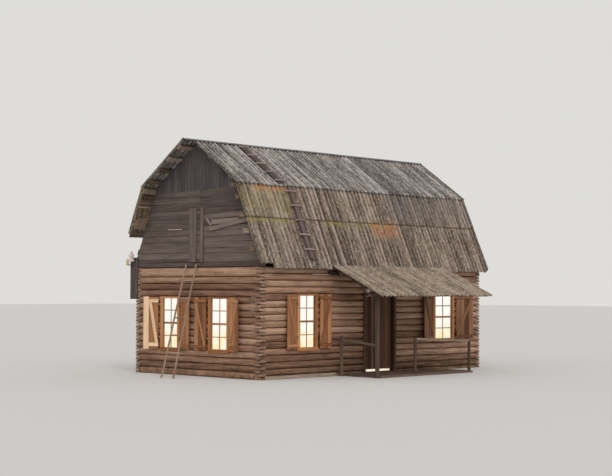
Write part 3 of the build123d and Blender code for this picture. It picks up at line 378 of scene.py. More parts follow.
class Pile:
    """Closed pieces gathered into one mesh, each with its own grain, tone and edge values. On wood the edge
    value paints shade into grooves and along edges; on roof sheets it runs from trough to crest.
    """

    def __init__(self):
        self.verts, self.grain, self.tone, self.edge = [], [], [], []
        self.faces, self.slots = [], []

    def point(self, place, grain, tone, edge):
        self.verts.append(place - ORIGIN)
        self.grain += grain
        self.tone.append(tone)
        self.edge.append(edge)

    def tube(self, rings, tone, cap=0, shape=None):
        """Joins rings of (point, grain, edge), all of one length, into a closed piece."""
        first, count = len(self.verts), len(rings[0])
        for ring in rings:
            for place, grain, edge in ring:
                self.point(shape(place) if shape else place, grain, tone, edge)
        last = first + (len(rings) - 1) * count
        for base in range(first, last, count):
            for i in range(count):
                j = (i + 1) % count
                self.faces.append((base + i, base + j, base + count + j, base + count + i))
        self.faces += [tuple(range(first + count - 1, first - 1, -1)), tuple(range(last, last + count))]
        self.slots += [0] * (last - first) + [cap, cap]

    def build(self, name, materials, slot, replaces=(), body=CABIN, smooth=False):
        mesh = bpy.data.meshes.new(name)
        mesh.from_pydata(self.verts, [], self.faces)
        for key, kind, field, values in (("grain", "FLOAT_VECTOR", "vector", self.grain),
                                         ("tone", "FLOAT", "value", self.tone),
                                         ("edge", "FLOAT", "value", self.edge)):
            mesh.attributes.new(key, kind, "POINT").data.foreach_set(field, values)
        for material in materials:
            mesh.materials.append(material)
        mesh.polygons.foreach_set("material_index", self.slots)
        work = bmesh.new()
        work.from_mesh(mesh)
        bmesh.ops.recalc_face_normals(work, faces=work.faces)
        work.to_mesh(mesh)
        work.free()
        if smooth:
            mesh.polygons.foreach_set("use_smooth", [len(p.vertices) == 4 for p in mesh.polygons])
            mesh.set_sharp_from_angle(angle=math.radians(40))
        piece = added(name, mesh)
        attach(piece, body)
        if replaces:
            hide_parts(*replaces)


def steps_between(low, high, pitch):
    count = max(1, int(round((high - low) / pitch)))
    return [low + (high - low) * i / count for i in range(count + 1)]


def first_draws(tone=None):
    """A piece's shade, unless it is given, and where its grain starts."""
    return RNG.random() if tone is None else tone, RNG.uniform(0, 90)


def plank(pile, start, end, width, thickness, normal, wane=0.0, bow=0.0, tone=None, shape=None,
          pitch=0.4):
    """A sawn board from start to end with small chamfers, its outside facing normal."""
    start, end = Vector(start), Vector(end)
    along = (end - start).normalized()
    normal = (normal - along * normal.dot(along)).normalized()
    side = normal.cross(along)
    length = (end - start).length
    tone, seed = first_draws(tone)
    t, c, r = thickness / 2, min(0.004, thickness / 5, width / 5), min(0.02, width / 3)
    rings = []
    for s in steps_between(0, length, pitch):
        left, right = (width / 2 - wane * (0.5 + 0.5 * ripple(seed, s * 3.1, k)) for k in (0.0, 9.0))
        # Chamfer corners get an edge value, which paints shade along the board's edges.
        section = [(-left + c, -t, 1), (-left + r, -t, 0), (right - r, -t, 0), (right - c, -t, 1),
                   (right, -t + c, 1), (right, t - c, 1), (right - c, t, 1), (right - r, t, 0),
                   (-left + r, t, 0), (-left + c, t, 1), (-left, t - c, 1), (-left, -t + c, 1)]
        centre = start + along * s + side * (bow * math.sin(math.pi * s / length))
        rings.append([(centre + side * u + normal * v, (seed + s, u + seed, v), 0.55 * e)
                      for u, v, e in section])
    pile.tube(rings, tone, shape=shape)


def beam(pile, low, high, along, tone=None, wear=0.004):
    """A hewn square timber filling a box, its grain along an axis."""
    index = (X, Y, Z).index(along)
    p, q = [i for i in range(3) if i != index]
    tone, seed = first_draws(tone)
    c = min(high[p] - low[p], high[q] - low[q]) * 0.12
    rings = []
    for s in steps_between(low[index], high[index], 0.35):
        dents = [wear * (0.5 + 0.5 * ripple(seed + k, s * 2.3, 0.0)) for k in range(4)]
        a0, a1, b0, b1 = low[p] + dents[0], high[p] - dents[1], low[q] + dents[2], high[q] - dents[3]
        ring = []
        for a, b in ((a0 + c, b0), (a1 - c, b0), (a1, b0 + c), (a1, b1 - c),
                     (a1 - c, b1), (a0 + c, b1), (a0, b1 - c), (a0, b0 + c)):
            point = at(0.0, 0.0, 0.0)
            point[index], point[p], point[q] = s, a, b
            ring.append((point, (s + seed, a - (a0 + a1) / 2, b - (b0 + b1) / 2), 0.35))
        rings.append(ring)
    pile.tube(rings, tone)


def pole(pile, start, end, radius, taper=0.0, wander=0.004, sides=10, tone=None, shape=None):
    """A peeled round pole, a little crooked."""
    start, end = Vector(start), Vector(end)
    along = (end - start).normalized()
    side = along.orthogonal().normalized()
    other = along.cross(side)
    length = (end - start).length
    tone, seed = first_draws(tone)
    angles = [2 * math.pi * k / sides for k in range(sides)]
    rings = []
    for s in steps_between(0, length, 0.22):
        fade = math.sin(math.pi * s / length)
        shift = side * ripple(seed, s * 1.4, 0) + other * ripple(0, s * 1.4, seed)
        centre = start + along * s + shift * wander * fade
        size = radius * (1 - taper * s / length) * (1 - 0.06 * abs(ripple(seed, s * 5, 3)))
        rings.append([(centre + (side * math.cos(a) + other * math.sin(a)) * size,
                       (s + seed, math.cos(a) * size, math.sin(a) * size), 0.0) for a in angles])
    pile.tube(rings, tone, shape=shape)


# Log walls

LOG_ARC, HEWN = 0.062, 0.012
LOG_SECTION = [(LOG_ARC * (1 - math.cos(math.radians(t))), 0.5 * math.sin(math.radians(t)))
               for t in range(-90, 91, 15)]


def log(pile, axis, face, inward, centre, start, end, cuts, height):
    """One log along X or Y with a round outside and a hewn inside. Cuts: (low, high, bottom, top)."""
    along, across = WAYS[axis]
    seed, tone = RNG.uniform(0, 90), RNG.random()
    marks = sorted(set([start, end] + steps_between(start, end, 0.32)))
    for edge in sorted(set(e for cut in cuts for e in cut[:2] if start < e < end)):
        marks = [m for m in marks if abs(m - edge) > 0.03 or m in (start, end)] + [edge, edge]
    marks.sort()
    half = height / 2
    runs = [[]]
    for k, s in enumerate(marks):
        before = k > 0 and marks[k - 1] == s
        floor_z, roof_z = centre - half, centre + half
        for low, high, bottom, top in cuts:
            if low < s < high or (s == low and before) or (s == high and not before):
                if bottom <= floor_z + HEWN:
                    floor_z = max(floor_z, top)
                else:
                    roof_z = min(roof_z, bottom)
        floor_z = max(floor_z, 0.0)
        if roof_z - floor_z < HEWN:
            runs.append([])
            continue
        shrink = 0.93 if min(s - start, end - s) < 0.001 else 1.0
        hollow = 0.004 + 0.004 * ripple(seed, s * 1.1, 0)
        sway = 0.004 * ripple(seed, s * 0.8, 40)
        girth = 1 - 0.035 * (0.5 + 0.5 * ripple(seed, s * 0.7, 80))
        # The edge value rises steeply towards the top and bottom of the round face, where logs meet, to
        # paint shade into the grooves.
        section = [(hollow + u + (1 - shrink) * 0.05, v * height * girth * shrink, 0.9 * (abs(v) * 2) ** 7)
                   for u, v in LOG_SECTION]
        section += [(LOG_WIDTH - HEWN, half, 0.9), (LOG_WIDTH, half - HEWN, 0.3),
                    (LOG_WIDTH, -half + HEWN, 0.3), (LOG_WIDTH - HEWN, -half, 0.9)]
        runs[-1].append([(along * s + across * (face + inward * u)
                          + Z * min(max(centre + sway + v, floor_z), roof_z),
                          (s + seed, u - LOG_WIDTH / 2, v), e) for u, v, e in section])
    for rings in runs:
        if len(rings) > 1:
            pile.tube(rings, tone, cap=1)


def rough(opening):
    """An opening with its window frame."""
    low, high, bottom, top = opening
    return (low - WINDOW_FRAME, high + WINDOW_FRAME, bottom - WINDOW_FRAME, top + WINDOW_FRAME)


def log_wall(name, axis, face, inward, start, end, courses, windows, crossed=(True, True)):
    """A wall of logs. At a crossed corner each log keeps only its upper half, as its notches leave it."""
    pile = Pile()
    corners = []
    if crossed[0]:
        corners.append((start - 1.0, start + LOG_END + LOG_WIDTH))
    if crossed[1]:
        corners.append((end - LOG_END - LOG_WIDTH, end + 1.0))
    for centre in courses:
        cuts = [(low, high, centre - COURSE, centre) for low, high in corners if centre > 0]
        cuts += [(low, high, centre + COURSE / 2, centre + COURSE) for low, high in corners]
        for window in windows:
            low, high, bottom, top = rough(window)
            if bottom < centre + COURSE / 2 - HEWN and top > centre - COURSE / 2 + HEWN:
                cuts.append((low, high, bottom, top))
        first = start + (RNG.uniform(0, 0.008) if crossed[0] else 0)
        last = end - (RNG.uniform(0, 0.008) if crossed[1] else 0)
        extra = TOP_LOG_EXTRA if centre == CROSS[-1] else 0.0
        log(pile, axis, face, inward, centre + extra / 2, first, last, cuts, COURSE - 0.003 + extra)
    pile.build(name + "_round", (LOGS, LOG_CAPS), "weathered_logs", [name], smooth=True)


LONG = [k * COURSE for k in range(17)]
CROSS = [(k + 0.5) * COURSE for k in range(16)]
TOP_LOG_EXTRA, DOOR_COURSES = 0.082, 13
ROUGH_LOW, ROUGH_HIGH = DOOR_LOW - DOOR_JAMB, DOOR_HIGH + DOOR_JAMB
FAR_END, BACK_END = WALL_LENGTH + LOG_END, WALL_WIDTH + LOG_END
log_wall("front_logs_left", "X", 0, 1, -LOG_END, ROUGH_LOW, LONG[:DOOR_COURSES], FRONT_WINDOWS[:1],
         (True, False))
log_wall("front_logs_right", "X", 0, 1, ROUGH_HIGH, FAR_END, LONG[:DOOR_COURSES], FRONT_WINDOWS[1:],
         (False, True))
log_wall("front_logs_over_door", "X", 0, 1, -LOG_END, FAR_END, LONG[DOOR_COURSES:], ())
log_wall("back_logs", "X", WALL_WIDTH, -1, -LOG_END, FAR_END, LONG, BACK_WINDOWS)
log_wall("near_gable_logs", "Y", 0, 1, -LOG_END, BACK_END, CROSS, NEAR_WINDOWS)
log_wall("far_gable_logs", "Y", WALL_LENGTH, -1, -LOG_END, BACK_END, CROSS, ())


# Roof timbers and gables

def foot_y(height):
    """Y where the underside of the roof's steep front slope has this height."""
    return BREAK_IN - (BREAK_HEIGHT - height) / math.tan(LOWER_ANGLE) + ROOF_DEPTH / math.sin(LOWER_ANGLE)


def upper_z(y):
    """Height of the underside of the upper slopes at Y."""
    return RIDGE_HEIGHT - ROOF_DEPTH / math.cos(UPPER_ANGLE) - abs(MIDDLE - y) * math.tan(UPPER_ANGLE)


def under_roof(point):
    """Keeps a point of a gable board under both slopes."""
    y, z = point.y, point.z
    z = min(z, upper_z(y))
    low = foot_y(z)
    y = min(max(y, low), WALL_WIDTH - low)
    return at(point.x, y, z)


BEAMS, BEAM_WIDTH, BEAM_OUT = 8, 0.12, 0.06
beams = Pile()
step = (WALL_LENGTH - BEAM_WIDTH) / (BEAMS - 1)
for k in range(BEAMS):
    beam(beams, (k * step, -BEAM_OUT, GABLE_TOP + COURSE / 2),
         (k * step + BEAM_WIDTH, WALL_WIDTH + BEAM_OUT, BEAM_TOP), Y, tone=0.2, wear=0.006)
beams.build("tie_beams_hewn", (BOARDS,), "dark_timber", ["tie_beams"])

HALF_BOARD, COVER_X = 0.0125, -0.0128
# Cover boards: middle and width. Seams: heights where the lapped boards of a field meet
COVERS = ((2.499, 0.27), (2.158, 0.121))
PEAK_LOW, PEAK_HIGH = 4.823, 4.742
LEFT_SEAMS = (3.0, 3.17, 3.44, 3.61, 3.77, 4.05, 4.15, 4.26, 4.46, 4.62)
RIGHT_SEAMS = (3.155, 3.29, 3.44, 3.58, 3.74, 3.86, 4.05, 4.19, 4.34, 4.54, 4.62)


def peak_base(y):
    """The line between the lapped boards and the upright ones falls a little towards the back."""
    low, high = foot_y(PEAK_LOW), WALL_WIDTH - foot_y(PEAK_HIGH)
    return PEAK_LOW + (PEAK_HIGH - PEAK_LOW) * (y - low) / (high - low)


def clamp_board(x, upright=False):
    """Boards stay under the roof, on the beam, within the gable's thickness and in their own field."""
    def shape(point):
        point = under_roof(point)
        seam = peak_base(point.y)
        z = max(point.z, seam) if upright else min(max(point.z, BEAM_TOP + 0.0005), seam - 0.0005)
        return at(min(max(point.x, x - HALF_BOARD), x + HALF_BOARD), point.y, z)
    return shape


def gable_rows(pile, x, outward, y0, y1, seams, lean=0.0):
    """Horizontal boards, each lapped over the one below, in one field. The upper ones may lean."""
    heights = [BEAM_TOP + 0.001, *seams, PEAK_LOW]
    for low, high in zip(heights, heights[1:]):
        tilt = RNG.uniform(-0.006, 0.006) + lean * min(max(low - LEAN_START, 0.0), 1.0) * (y1 - y0) / 2
        start = at(x, y0, (low + high) / 2 + tilt)
        end = at(x, y1, (low + high) / 2 - tilt)
        plank(pile, start, end, high - low + 0.012, 0.018, at(outward, 0, -0.05), wane=0.014,
              shape=clamp_board(x))


LEAN_START = 3.2
rows = Pile()
gable_rows(rows, HALF_BOARD, -1, 2.24, 4.95, LEFT_SEAMS)
gable_rows(rows, HALF_BOARD, -1, -0.15, 2.235, RIGHT_SEAMS, 0.036)
gable_rows(rows, WALL_LENGTH - HALF_BOARD, 1, -0.15, 2.6, LEFT_SEAMS)
gable_rows(rows, WALL_LENGTH - HALF_BOARD, 1, 2.604, 4.95, RIGHT_SEAMS)
rows.build("gable_rows_lapped", (BOARDS,), "grey_boards", ["gable_boards"])

peaks = Pile()
for x, outward in ((HALF_BOARD, -1), (WALL_LENGTH - HALF_BOARD, 1)):
    y, last = foot_y(PEAK_LOW), WALL_WIDTH - foot_y(PEAK_HIGH)
    while y < last:
        width = RNG.uniform(0.11, 0.17)
        if y + width > last - 0.03:
            width = last - y
        centre = y + width / 2
        plank(peaks, (x, centre, PEAK_HIGH - 0.02), (x, centre, upper_z(centre) + 0.08),
              width - 0.0005, 0.022, at(outward, 0, 0), shape=clamp_board(x, True), pitch=0.2)
        y += width
peaks.build("peak_boards_upright", (PEAK,), "grey_boards", ["gable_peaks"])

covers = Pile()
for centre, width in COVERS:
    plank(covers, (COVER_X, centre, BEAM_TOP + 0.001), (COVER_X, centre, 4.33), width, 0.025, -X,
          wane=0.008, tone=0.75)
covers.build("gable_covers_weathered", (BOARDS,), "grey_boards", ["gable_cover_boards"])
slipped = Pile()
tilt = math.radians(8.4)
reach = at(0, math.cos(tilt), -math.sin(tilt)) * 0.7
slip = at(COVER_X, 1.17, 3.87)
plank(slipped, slip - reach, slip + reach, 0.12, 0.025, -X, wane=0.012, tone=0.85)
for start, end, width in (((1.80, 3.942), (0.80, 3.975), 0.125), ((2.0, 4.04), (1.81, 3.856), 0.07)):
    plank(slipped, (-0.0053, *start), (-0.0053, *end), width, 0.01, -X, tone=0.95)
slipped.build("gable_slipped_boards", (SLIPPED,), "grey_boards")

# Pale laths on the boards and the door wall
laths = Pile()
plank(laths, (-0.0052, 2.95, 3.79), (-0.0052, 3.49, 3.79), 0.022, 0.01, -X)
plank(laths, (1.84, -0.008, 2.62), (2.50, -0.008, 2.62), 0.03, 0.016, -Y)
plank(laths, (2.37, -0.008, 1.10), (2.54, -0.008, 1.10), 0.03, 0.016, -Y)
laths.build("pale_laths", (LATH,), "pale_batten")


# Corrugated roof

def slope_frame(slope, distance, x=0.0, back=False):
    """Point, down and outward directions on a slope, at a distance from its top edge."""
    angle, y, z = slope
    sign = -1 if back else 1
    down = at(0, -sign * math.cos(angle), -math.sin(angle))
    out = at(0, -sign * math.sin(angle), math.cos(angle))
    return at(x, WALL_WIDTH - y if back else y, z) + down * distance, down, out


def sheet(pile, top, down, out, x0, waves, length, drop):
    """One corrugated sheet from its top edge, with rounded waves and a ragged lower edge."""
    tone, seed = first_draws()
    corner = RNG.uniform(0.03, 0.11) if RNG.random() < 0.45 else 0.0
    left = RNG.random() < 0.5
    short = RNG.uniform(0.0, 0.014)
    columns, rows = waves * WAVE_SIDES, max(2, int(length / 0.35))
    first = len(pile.verts)
    for layer in (0.0, SHEET):
        for i in range(columns + 1):
            x = x0 + i * WAVE / WAVE_SIDES
            height = WAVE_DEPTH / 2 * (math.cos(2 * math.pi * i / WAVE_SIDES) - 1)
            inset = i / columns if left else 1 - i / columns
            reach = length - short - 0.035 * abs(ripple(seed, x * 7, 0)) - corner * max(0.0, 1 - inset * 5)
            for j in range(rows + 1):
                s = reach * j / rows
                pile.point(top + X * x + down * s + out * (height - layer - drop), (s + seed, x, 0.0), tone,
                           1 + height / WAVE_DEPTH)
    tall = rows + 1
    size = tall * (columns + 1)
    for base in (first, first + size):
        for i in range(columns):
            for j in range(rows):
                a = base + i * tall + j
                pile.faces.append((a, a + 1, a + tall + 1, a + tall))
    rim = [(i * tall + row, (i + 1) * tall + row) for row in (0, rows) for i in range(columns)]
    rim += [(side + j, side + j + 1) for side in (0, columns * tall) for j in range(rows)]
    pile.faces += [(first + a, first + b, first + size + b, first + size + a) for a, b in rim]
    pile.slots += [0] * (len(pile.faces) - len(pile.slots))


def sheet_course(pile, slope, start, length, x0, waves, drop=0.0, back=False, first_waves=SHEET_WAVES,
                 skip=None):
    """Sheets side by side, every second one lying under its neighbours."""
    top, down, out = slope_frame(slope, start, back=back)
    wave, number = 0, 0
    while wave < waves:
        span = min(SHEET_WAVES if number else first_waves, waves - wave)
        over = number % 2 == 0
        lap, back_lap = int(over and wave + span < waves), int(over and wave > 0)
        run = length - skip[1] if skip and wave < skip[0] else length
        sheet(pile, top, down, out, x0 + (wave - back_lap) * WAVE, span + lap + back_lap, run,
              drop + (0.0 if over else SHEET))
        wave += span
        number += 1


LOWER_SHEET_LENGTH, SHEET_LAP, RIDGE_GAP, BREAK_TUCK = 1.56, 0.14, 0.046, 0.036
LOWER_START = LOWER_SLOPE - LOWER_SHEET_LENGTH
SHORT_FRONT, BROKEN_BACK = (3, 0.125), (4, 1.035)      # waves from the near verge, length missing
# A slope: its angle, and the Y and height of its upper edge
UPPER = (UPPER_ANGLE, MIDDLE, RIDGE_HEIGHT)
LOWER = (LOWER_ANGLE, BREAK_IN, BREAK_HEIGHT)
for part, material, slope, start, length in (
        ("upper", UPPER_SHEET, UPPER, RIDGE_GAP, UPPER_SLOPE - RIDGE_GAP + 0.08),
        ("middle", LOWER_SHEET, LOWER, BREAK_TUCK, LOWER_START + SHEET_LAP - BREAK_TUCK),
        ("lower", LOWER_SHEET, LOWER, LOWER_START, LOWER_SHEET_LENGTH)):
    pile = Pile()
    low = part == "lower"
    for back, verge, waves, cut in ((False, NEAR_VERGE, ROOF_WAVES, SHORT_FRONT),
                                    (True, BACK_VERGE, BACK_WAVES, BROKEN_BACK)):
        first_waves = cut[0] if low else RNG.choice((4, 5, 7))
        sheet_course(pile, slope, start, length, -verge, waves, LAP_DROP if low else 0.0, back, first_waves,
                     cut if low else None)
    pile.build(part + "_sheets_rounded", (material,), "roof_sheets", [part + "_sheets"], smooth=True)

porch = Pile()
sheet_course(porch, (PORCH_SLOPE, PORCH_TOP_Y, PORCH_TOP), 0.0, PORCH_LENGTH, PORCH_X, PORCH_WAVES)
porch.build("porch_sheets_rounded", (PORCH_SHEET,), "roof_sheets", ["porch_roof"], smooth=True)

# Ridge cap: lapped lengths of folded strip with turned-down edges
cap = Pile()
WING, CAP_LENGTH, CAP_SHEET = 0.08, 1.9, 0.003
profile = [(-WING, 0.014), (-WING, 0.0), (-0.045, 0.0), (-0.012, 0.0)]
profile += [(-away, fall) for away, fall in reversed(profile)]
section = [(*spot, 0.0) for spot in profile] + [(*spot, CAP_SHEET) for spot in reversed(profile)]
x, number = -BACK_VERGE, 0
while x < ROOF_END - 0.01:
    end = x + CAP_LENGTH if x + CAP_LENGTH + 0.6 < ROOF_END else ROOF_END
    rings = []
    for s in steps_between(x, min(end + 0.08, ROOF_END), 0.3):
        ring = []
        for away, fall, layer in section:
            y = MIDDLE + away * math.cos(UPPER_ANGLE)
            z = RIDGE_HEIGHT + (0.0053 - 0.0022 * (number % 2) - layer) / math.cos(UPPER_ANGLE)
            z -= abs(away) * math.sin(UPPER_ANGLE) + fall
            z += 0.004 * (ripple(s * 2, away * 9, 0) - 1) * min(1, abs(away) * 8)
            ring.append((at(s, y, z), (s, y, z), 0.0))
        rings.append(ring)
    cap.tube(rings, RNG.random())
    x = end
    number += 1
cap.build("ridge_cap_lapped", (RIDGE,), "ridge_metal", ["ridge_cap"])

# Battens under the sheets, run out unevenly past the verges
SHEET_UNDER = WAVE_DEPTH + SHEET + GAP
# Rows: distances down the slope. Ends: X of the near end in front and at the back
UPPER_ROWS = (0.225, 0.705, 1.185, 1.665)
LOWER_ROWS = (0.0606, 0.371, 0.88, 1.309, 1.801)
UPPER_ENDS = ((-0.10, -0.44), (-0.10, -0.46), (-0.12, -0.43), (-0.10, -0.53))
LOWER_ENDS = ((-0.28, -0.42), (-0.24, -0.40), (-0.31, -0.36), (-0.34, -0.45), (-0.33, 0.0))
battens = Pile()
for back in (False, True):
    for slope, rows, ends in ((UPPER, UPPER_ROWS, UPPER_ENDS), (LOWER, LOWER_ROWS, LOWER_ENDS)):
        for distance, near in zip(rows, ends):
            lapped = slope is LOWER and distance > 0.8
            thick = 0.032 if lapped else 0.0393
            start, down, out = slope_frame(slope, distance + 0.075, back=back)
            start -= out * (SHEET_UNDER + (LAP_DROP if lapped else 0.0) + thick / 2)
            plank(battens, start + X * near[back], start + X * (9.10 - RNG.uniform(0.0, 0.05)),
                  0.148, thick, out, wane=0.012)
for distance, wide, near in ((0.27, 0.06, -0.38), (0.58, 0.07, -0.40), (1.085, 0.27, -0.39)):
    start, down, out = slope_frame(LOWER, distance, back=True)
    start -= out * (SHEET_UNDER + 0.024)
    plank(battens, start + X * near, start - X * 0.02, wide, 0.03, out, wane=0.01)
battens.build("roof_battens_rough", (BATTEN,), "pale_batten", ["roof_battens"])

# Roof ladders: planks with cleats
boards, cleats = Pile(), Pile()
for slope, centre, start, length in ((LOWER, 1.70, 0.095, 2.08), (UPPER, 1.48, 0.105, 1.90)):
    top, down, out = slope_frame(slope, start, centre)
    for side in (-0.067, 0.0, 0.067):
        a = top + X * side + out * 0.0128
        plank(boards, a, a + down * (length - RNG.uniform(0.0, 0.03)), 0.062, 0.025, out, wane=0.004)
    for number in range(5):
        a = top + down * (0.1375 + number * 0.415) + out * 0.0403
        plank(cleats, a - X * 0.19, a + X * 0.19, 0.045, 0.03, out, wane=0.003)
boards.build("roof_ladders_planked", (STEPS,), "roof_ladder_wood", ["roof_ladders"])
cleats.build("roof_ladder_cleats", (CLEATS,), "roof_ladder_wood")


# Windows

def window(axis, face, inward, low, high, bottom, top):
    """Casing, frame, and two sashes over one another, each with bars and a pane."""
    along, across = WAYS[axis]

    def upright(pile, a, b, z0, z1, width, thickness):
        foot = along * a + across * (face + inward * b)
        plank(pile, foot + Z * z0, foot + Z * z1, width, thickness, across * -inward)

    def level(pile, b, z, width, thickness, beyond=0.0):
        row = across * (face + inward * b) + Z * z
        plank(pile, row + along * (low - beyond), row + along * (high + beyond), width, thickness,
              across * -inward)

    # casing boards on the logs: head and sill run through, sides between them
    level(frames, CASING_B, top + 0.0248, 0.0504, 0.022, 0.1)
    level(frames, CASING_B, bottom - 0.05, 0.10, 0.022, 0.1)
    for a in (low - 0.05, high + 0.05):
        upright(frames, a, CASING_B, bottom, top, 0.1, 0.022)
    # frame in the logs
    for a in (low - 0.025, high + 0.025):
        upright(frames, a, 0.05, bottom - 0.0497, top + 0.0497, 0.0494, 0.09)
    for z in (bottom - 0.025, top + 0.025):
        level(frames, 0.05, z, 0.0494, 0.09)
    middle, centre = (bottom + top) / 2, (low + high) / 2
    level(frames, 0.03, middle, 0.05, 0.05)
    for z0, z1 in ((bottom, middle - 0.025), (middle + 0.025, top)):
        upright(bars, centre, 0.028, z0, z1, 0.026, 0.014)
        level(bars, 0.028, (z0 + z1) / 2, 0.024, 0.012)
        for a in (low + 0.011, high - 0.011):
            upright(bars, a, 0.026, z0, z1, 0.022, 0.018)
        upright(panes, centre, 0.0375, z0 - 0.02, z1 + 0.02, high - low - 0.002, 0.005)


CASING_B = -0.0113      # middle of the casing boards, before the logs
frames, bars, panes = Pile(), Pile(), Pile()
for wall, openings in ((("X", 0.0, 1), FRONT_WINDOWS), (("Y", 0.0, 1), NEAR_WINDOWS),
                       (("X", WALL_WIDTH, -1), BACK_WINDOWS)):
    for opening in openings:
        window(*wall, *opening)
frames.build("window_joinery", (GLOW_TINTED_JOINERY,), "brown_joinery", ["window_frames"])
bars.build("window_bars", (GLOW_TINTED_JOINERY,), "brown_joinery")
panes.build("window_panes", (GLASS,), "window_glass", ["window_glass"])


# Shutters

def shutter(name, run, opening, side, rest, wood_board, wood_ledge, stile):
    """Plank leaf with ledges and a brace, and a stile if it has one, at its rest angle."""
    low, high, bottom, top = opening
    bottom -= SHUTTER_OVER
    top += SHUTTER_OVER
    reach = (high - low) / 2 + HINGE_REACH - 0.003
    edge = low - HINGE_REACH if side < 0 else high + HINGE_REACH
    sense = side if run == "X" else -side
    along, across = WAYS[run]
    origin, over = along * edge - across * SHUTTER_AXIS_OUT, along * -side
    away = Z.cross(over)
    turn = Matrix.Rotation(math.radians(sense * rest), 3, "Z")

    def put(point):
        local = turn @ at(point.x, point.y * sense, point.z)
        return origin + over * local.x + away * local.y + Z * local.z

    board, ledge = Pile(), Pile()
    count = 4 if reach > 0.42 else 3
    width = (reach - HINGE_GAP) / count
    for k in range(count):
        a = HINGE_GAP + width * (k + 0.5)
        plank(board, (a, 0.010, bottom + RNG.uniform(0, 0.004)),
              (a, 0.010, top - RNG.uniform(0, 0.004)), width - 0.003, 0.024, Y, shape=put)
    wide = 0.1 if stile else 0.075
    z0, z1 = bottom + 0.05, top - 0.05 - wide
    ends = reach - (0.147 if stile else 0.004)
    for z in (z0, z1):
        plank(ledge, (HINGE_GAP, LEDGE_IN, z + wide / 2), (ends, LEDGE_IN, z + wide / 2), wide, 0.021,
              -Y, shape=put)
    plank(ledge, (0.052, -0.0110, z0 + wide), (ends - 0.04, -0.0110, z1), 0.85 * wide, 0.020,
          -Y, shape=put)
    if stile:
        a = reach - 0.0755
        plank(ledge, (a, LEDGE_IN, bottom - 0.012), (a, LEDGE_IN, top + 0.012), 0.143, 0.021, -Y, shape=put)
    body = name + "_body"
    board.build(name + "_planks", (wood_board,), "shutter_boards", [name], body)
    ledge.build(name + "_ledges", (wood_ledge,), "shutter_boards", body=body)
    for number, seat in enumerate(SEATS[run]):
        strap = Pile()
        plank(strap, (-0.005, 0.0, seat + 0.02), (0.03, 0.0, seat + 0.02), 0.038, 0.0098, Y, shape=put)
        strap.build(f"{name}_knuckle_{number + 1}", (IRON,), "hinge_iron", body=body)


SHUTTER_OVER, HINGE_GAP, LEDGE_IN = 0.035, 0.012, -0.0115
SEATS = {"X": (6 * COURSE, 11 * COURSE), "Y": (5.5 * COURSE, 10.5 * COURSE)}
for name, run, opening, side, rest in (
        ("front_left_shutter_1", "X", FRONT_WINDOWS[0], -1, 176),
        ("front_right_shutter_1", "X", FRONT_WINDOWS[0], 1, 171),
        ("front_left_shutter_2", "X", FRONT_WINDOWS[1], -1, 171),
        ("front_right_shutter_2", "X", FRONT_WINDOWS[1], 1, 135),
        ("gable_right_shutter_1", "Y", NEAR_WINDOWS[0], -1, 169),
        ("gable_left_shutter_1", "Y", NEAR_WINDOWS[0], 1, 175),
        ("gable_right_shutter_2", "Y", NEAR_WINDOWS[1], -1, 176),
        ("gable_left_shutter_2", "Y", NEAR_WINDOWS[1], 1, 136)):
    # This leaf's ledges and stile get the pale wood, painted light from the window beside it.
    window_lit_leaf = name == "gable_left_shutter_2"
    tint = SHUTTER if opening is FRONT_WINDOWS[1] else WINDOW_GLOW_SHUTTER
    shutter(name, run, opening, side, rest, tint, WINDOW_LIT_BATTEN if window_lit_leaf else tint, window_lit_leaf)


# Door

door = Pile()
for a in (DOOR_LOW - 0.03, DOOR_HIGH + 0.03):
    plank(door, (a, 0.075, 0.05), (a, 0.075, DOOR_HEAD - 0.06), 0.0594, 0.15, -Y)
for z, thick in ((DOOR_HEAD - 0.0302, 0.0594), (0.025, 0.05)):
    plank(door, (ROUGH_LOW + GAP, 0.075, z), (ROUGH_HIGH - GAP, 0.075, z), 0.15, thick, Z)
door.build("door_frame_timber", (DOOR_TRIM,), "brown_joinery", ["door_frame"])
casing = Pile()
for a in (DOOR_LOW - 0.045, DOOR_HIGH + 0.045):
    plank(casing, (a, CASING_B, 0.0553), (a, CASING_B, DOOR_HEAD - 0.06), 0.0895, 0.022, -Y)
plank(casing, (DOOR_LOW - 0.09, CASING_B, DOOR_HEAD - 0.015),
      (DOOR_HIGH + 0.09, CASING_B, DOOR_HEAD - 0.015), 0.09, 0.022, -Y)
casing.build("door_casing_boards", (DOOR_TRIM,), "brown_joinery", ["door_casing"])
LEAF_Y, LEDGE_Y, HINGE_Y = 0.12, 0.14, 0.16
for name, side in (("left", -1), ("right", 1)):
    leaf, body = Pile(), name + "_door_body"
    edge = DOOR_LOW if side < 0 else DOOR_HIGH
    hung = edge - side * 0.006
    meeting = DOOR_CENTRE + side * 0.005
    a, b = min(hung, meeting), max(hung, meeting)
    for k in range(5):
        width = (b - a) / 5
        c = a + width * (k + 0.5)
        plank(leaf, (c, LEAF_Y, 0.11 + RNG.uniform(0, 0.004)), (c, LEAF_Y, 2.059), width - 0.003, 0.02, -Y)
    for z in (0.36, 1.08, 1.82):
        plank(leaf, (a + 0.01, LEDGE_Y, z), (b - 0.01, LEDGE_Y, z), 0.11, 0.02, Y)
    leaf.build(f"{name}_door_planks", (DOOR,), "door_boards", [f"{name}_door_leaf"], body)
    for number, seat in enumerate((0.32, 1.8)):
        strap = Pile()
        plank(strap, (edge - side * 0.002, 0.1525, seat + 0.02),
              (edge - side * 0.092, 0.1525, seat + 0.02), 0.036, 0.005, Y)
        pole(strap, (edge, HINGE_Y, seat), (edge, HINGE_Y, seat + 0.04), 0.0075, wander=0.0, sides=12)
        strap.build(f"{name}_door_hinge_{number + 1}", (IRON,), "hinge_iron", body=body)


# Porch

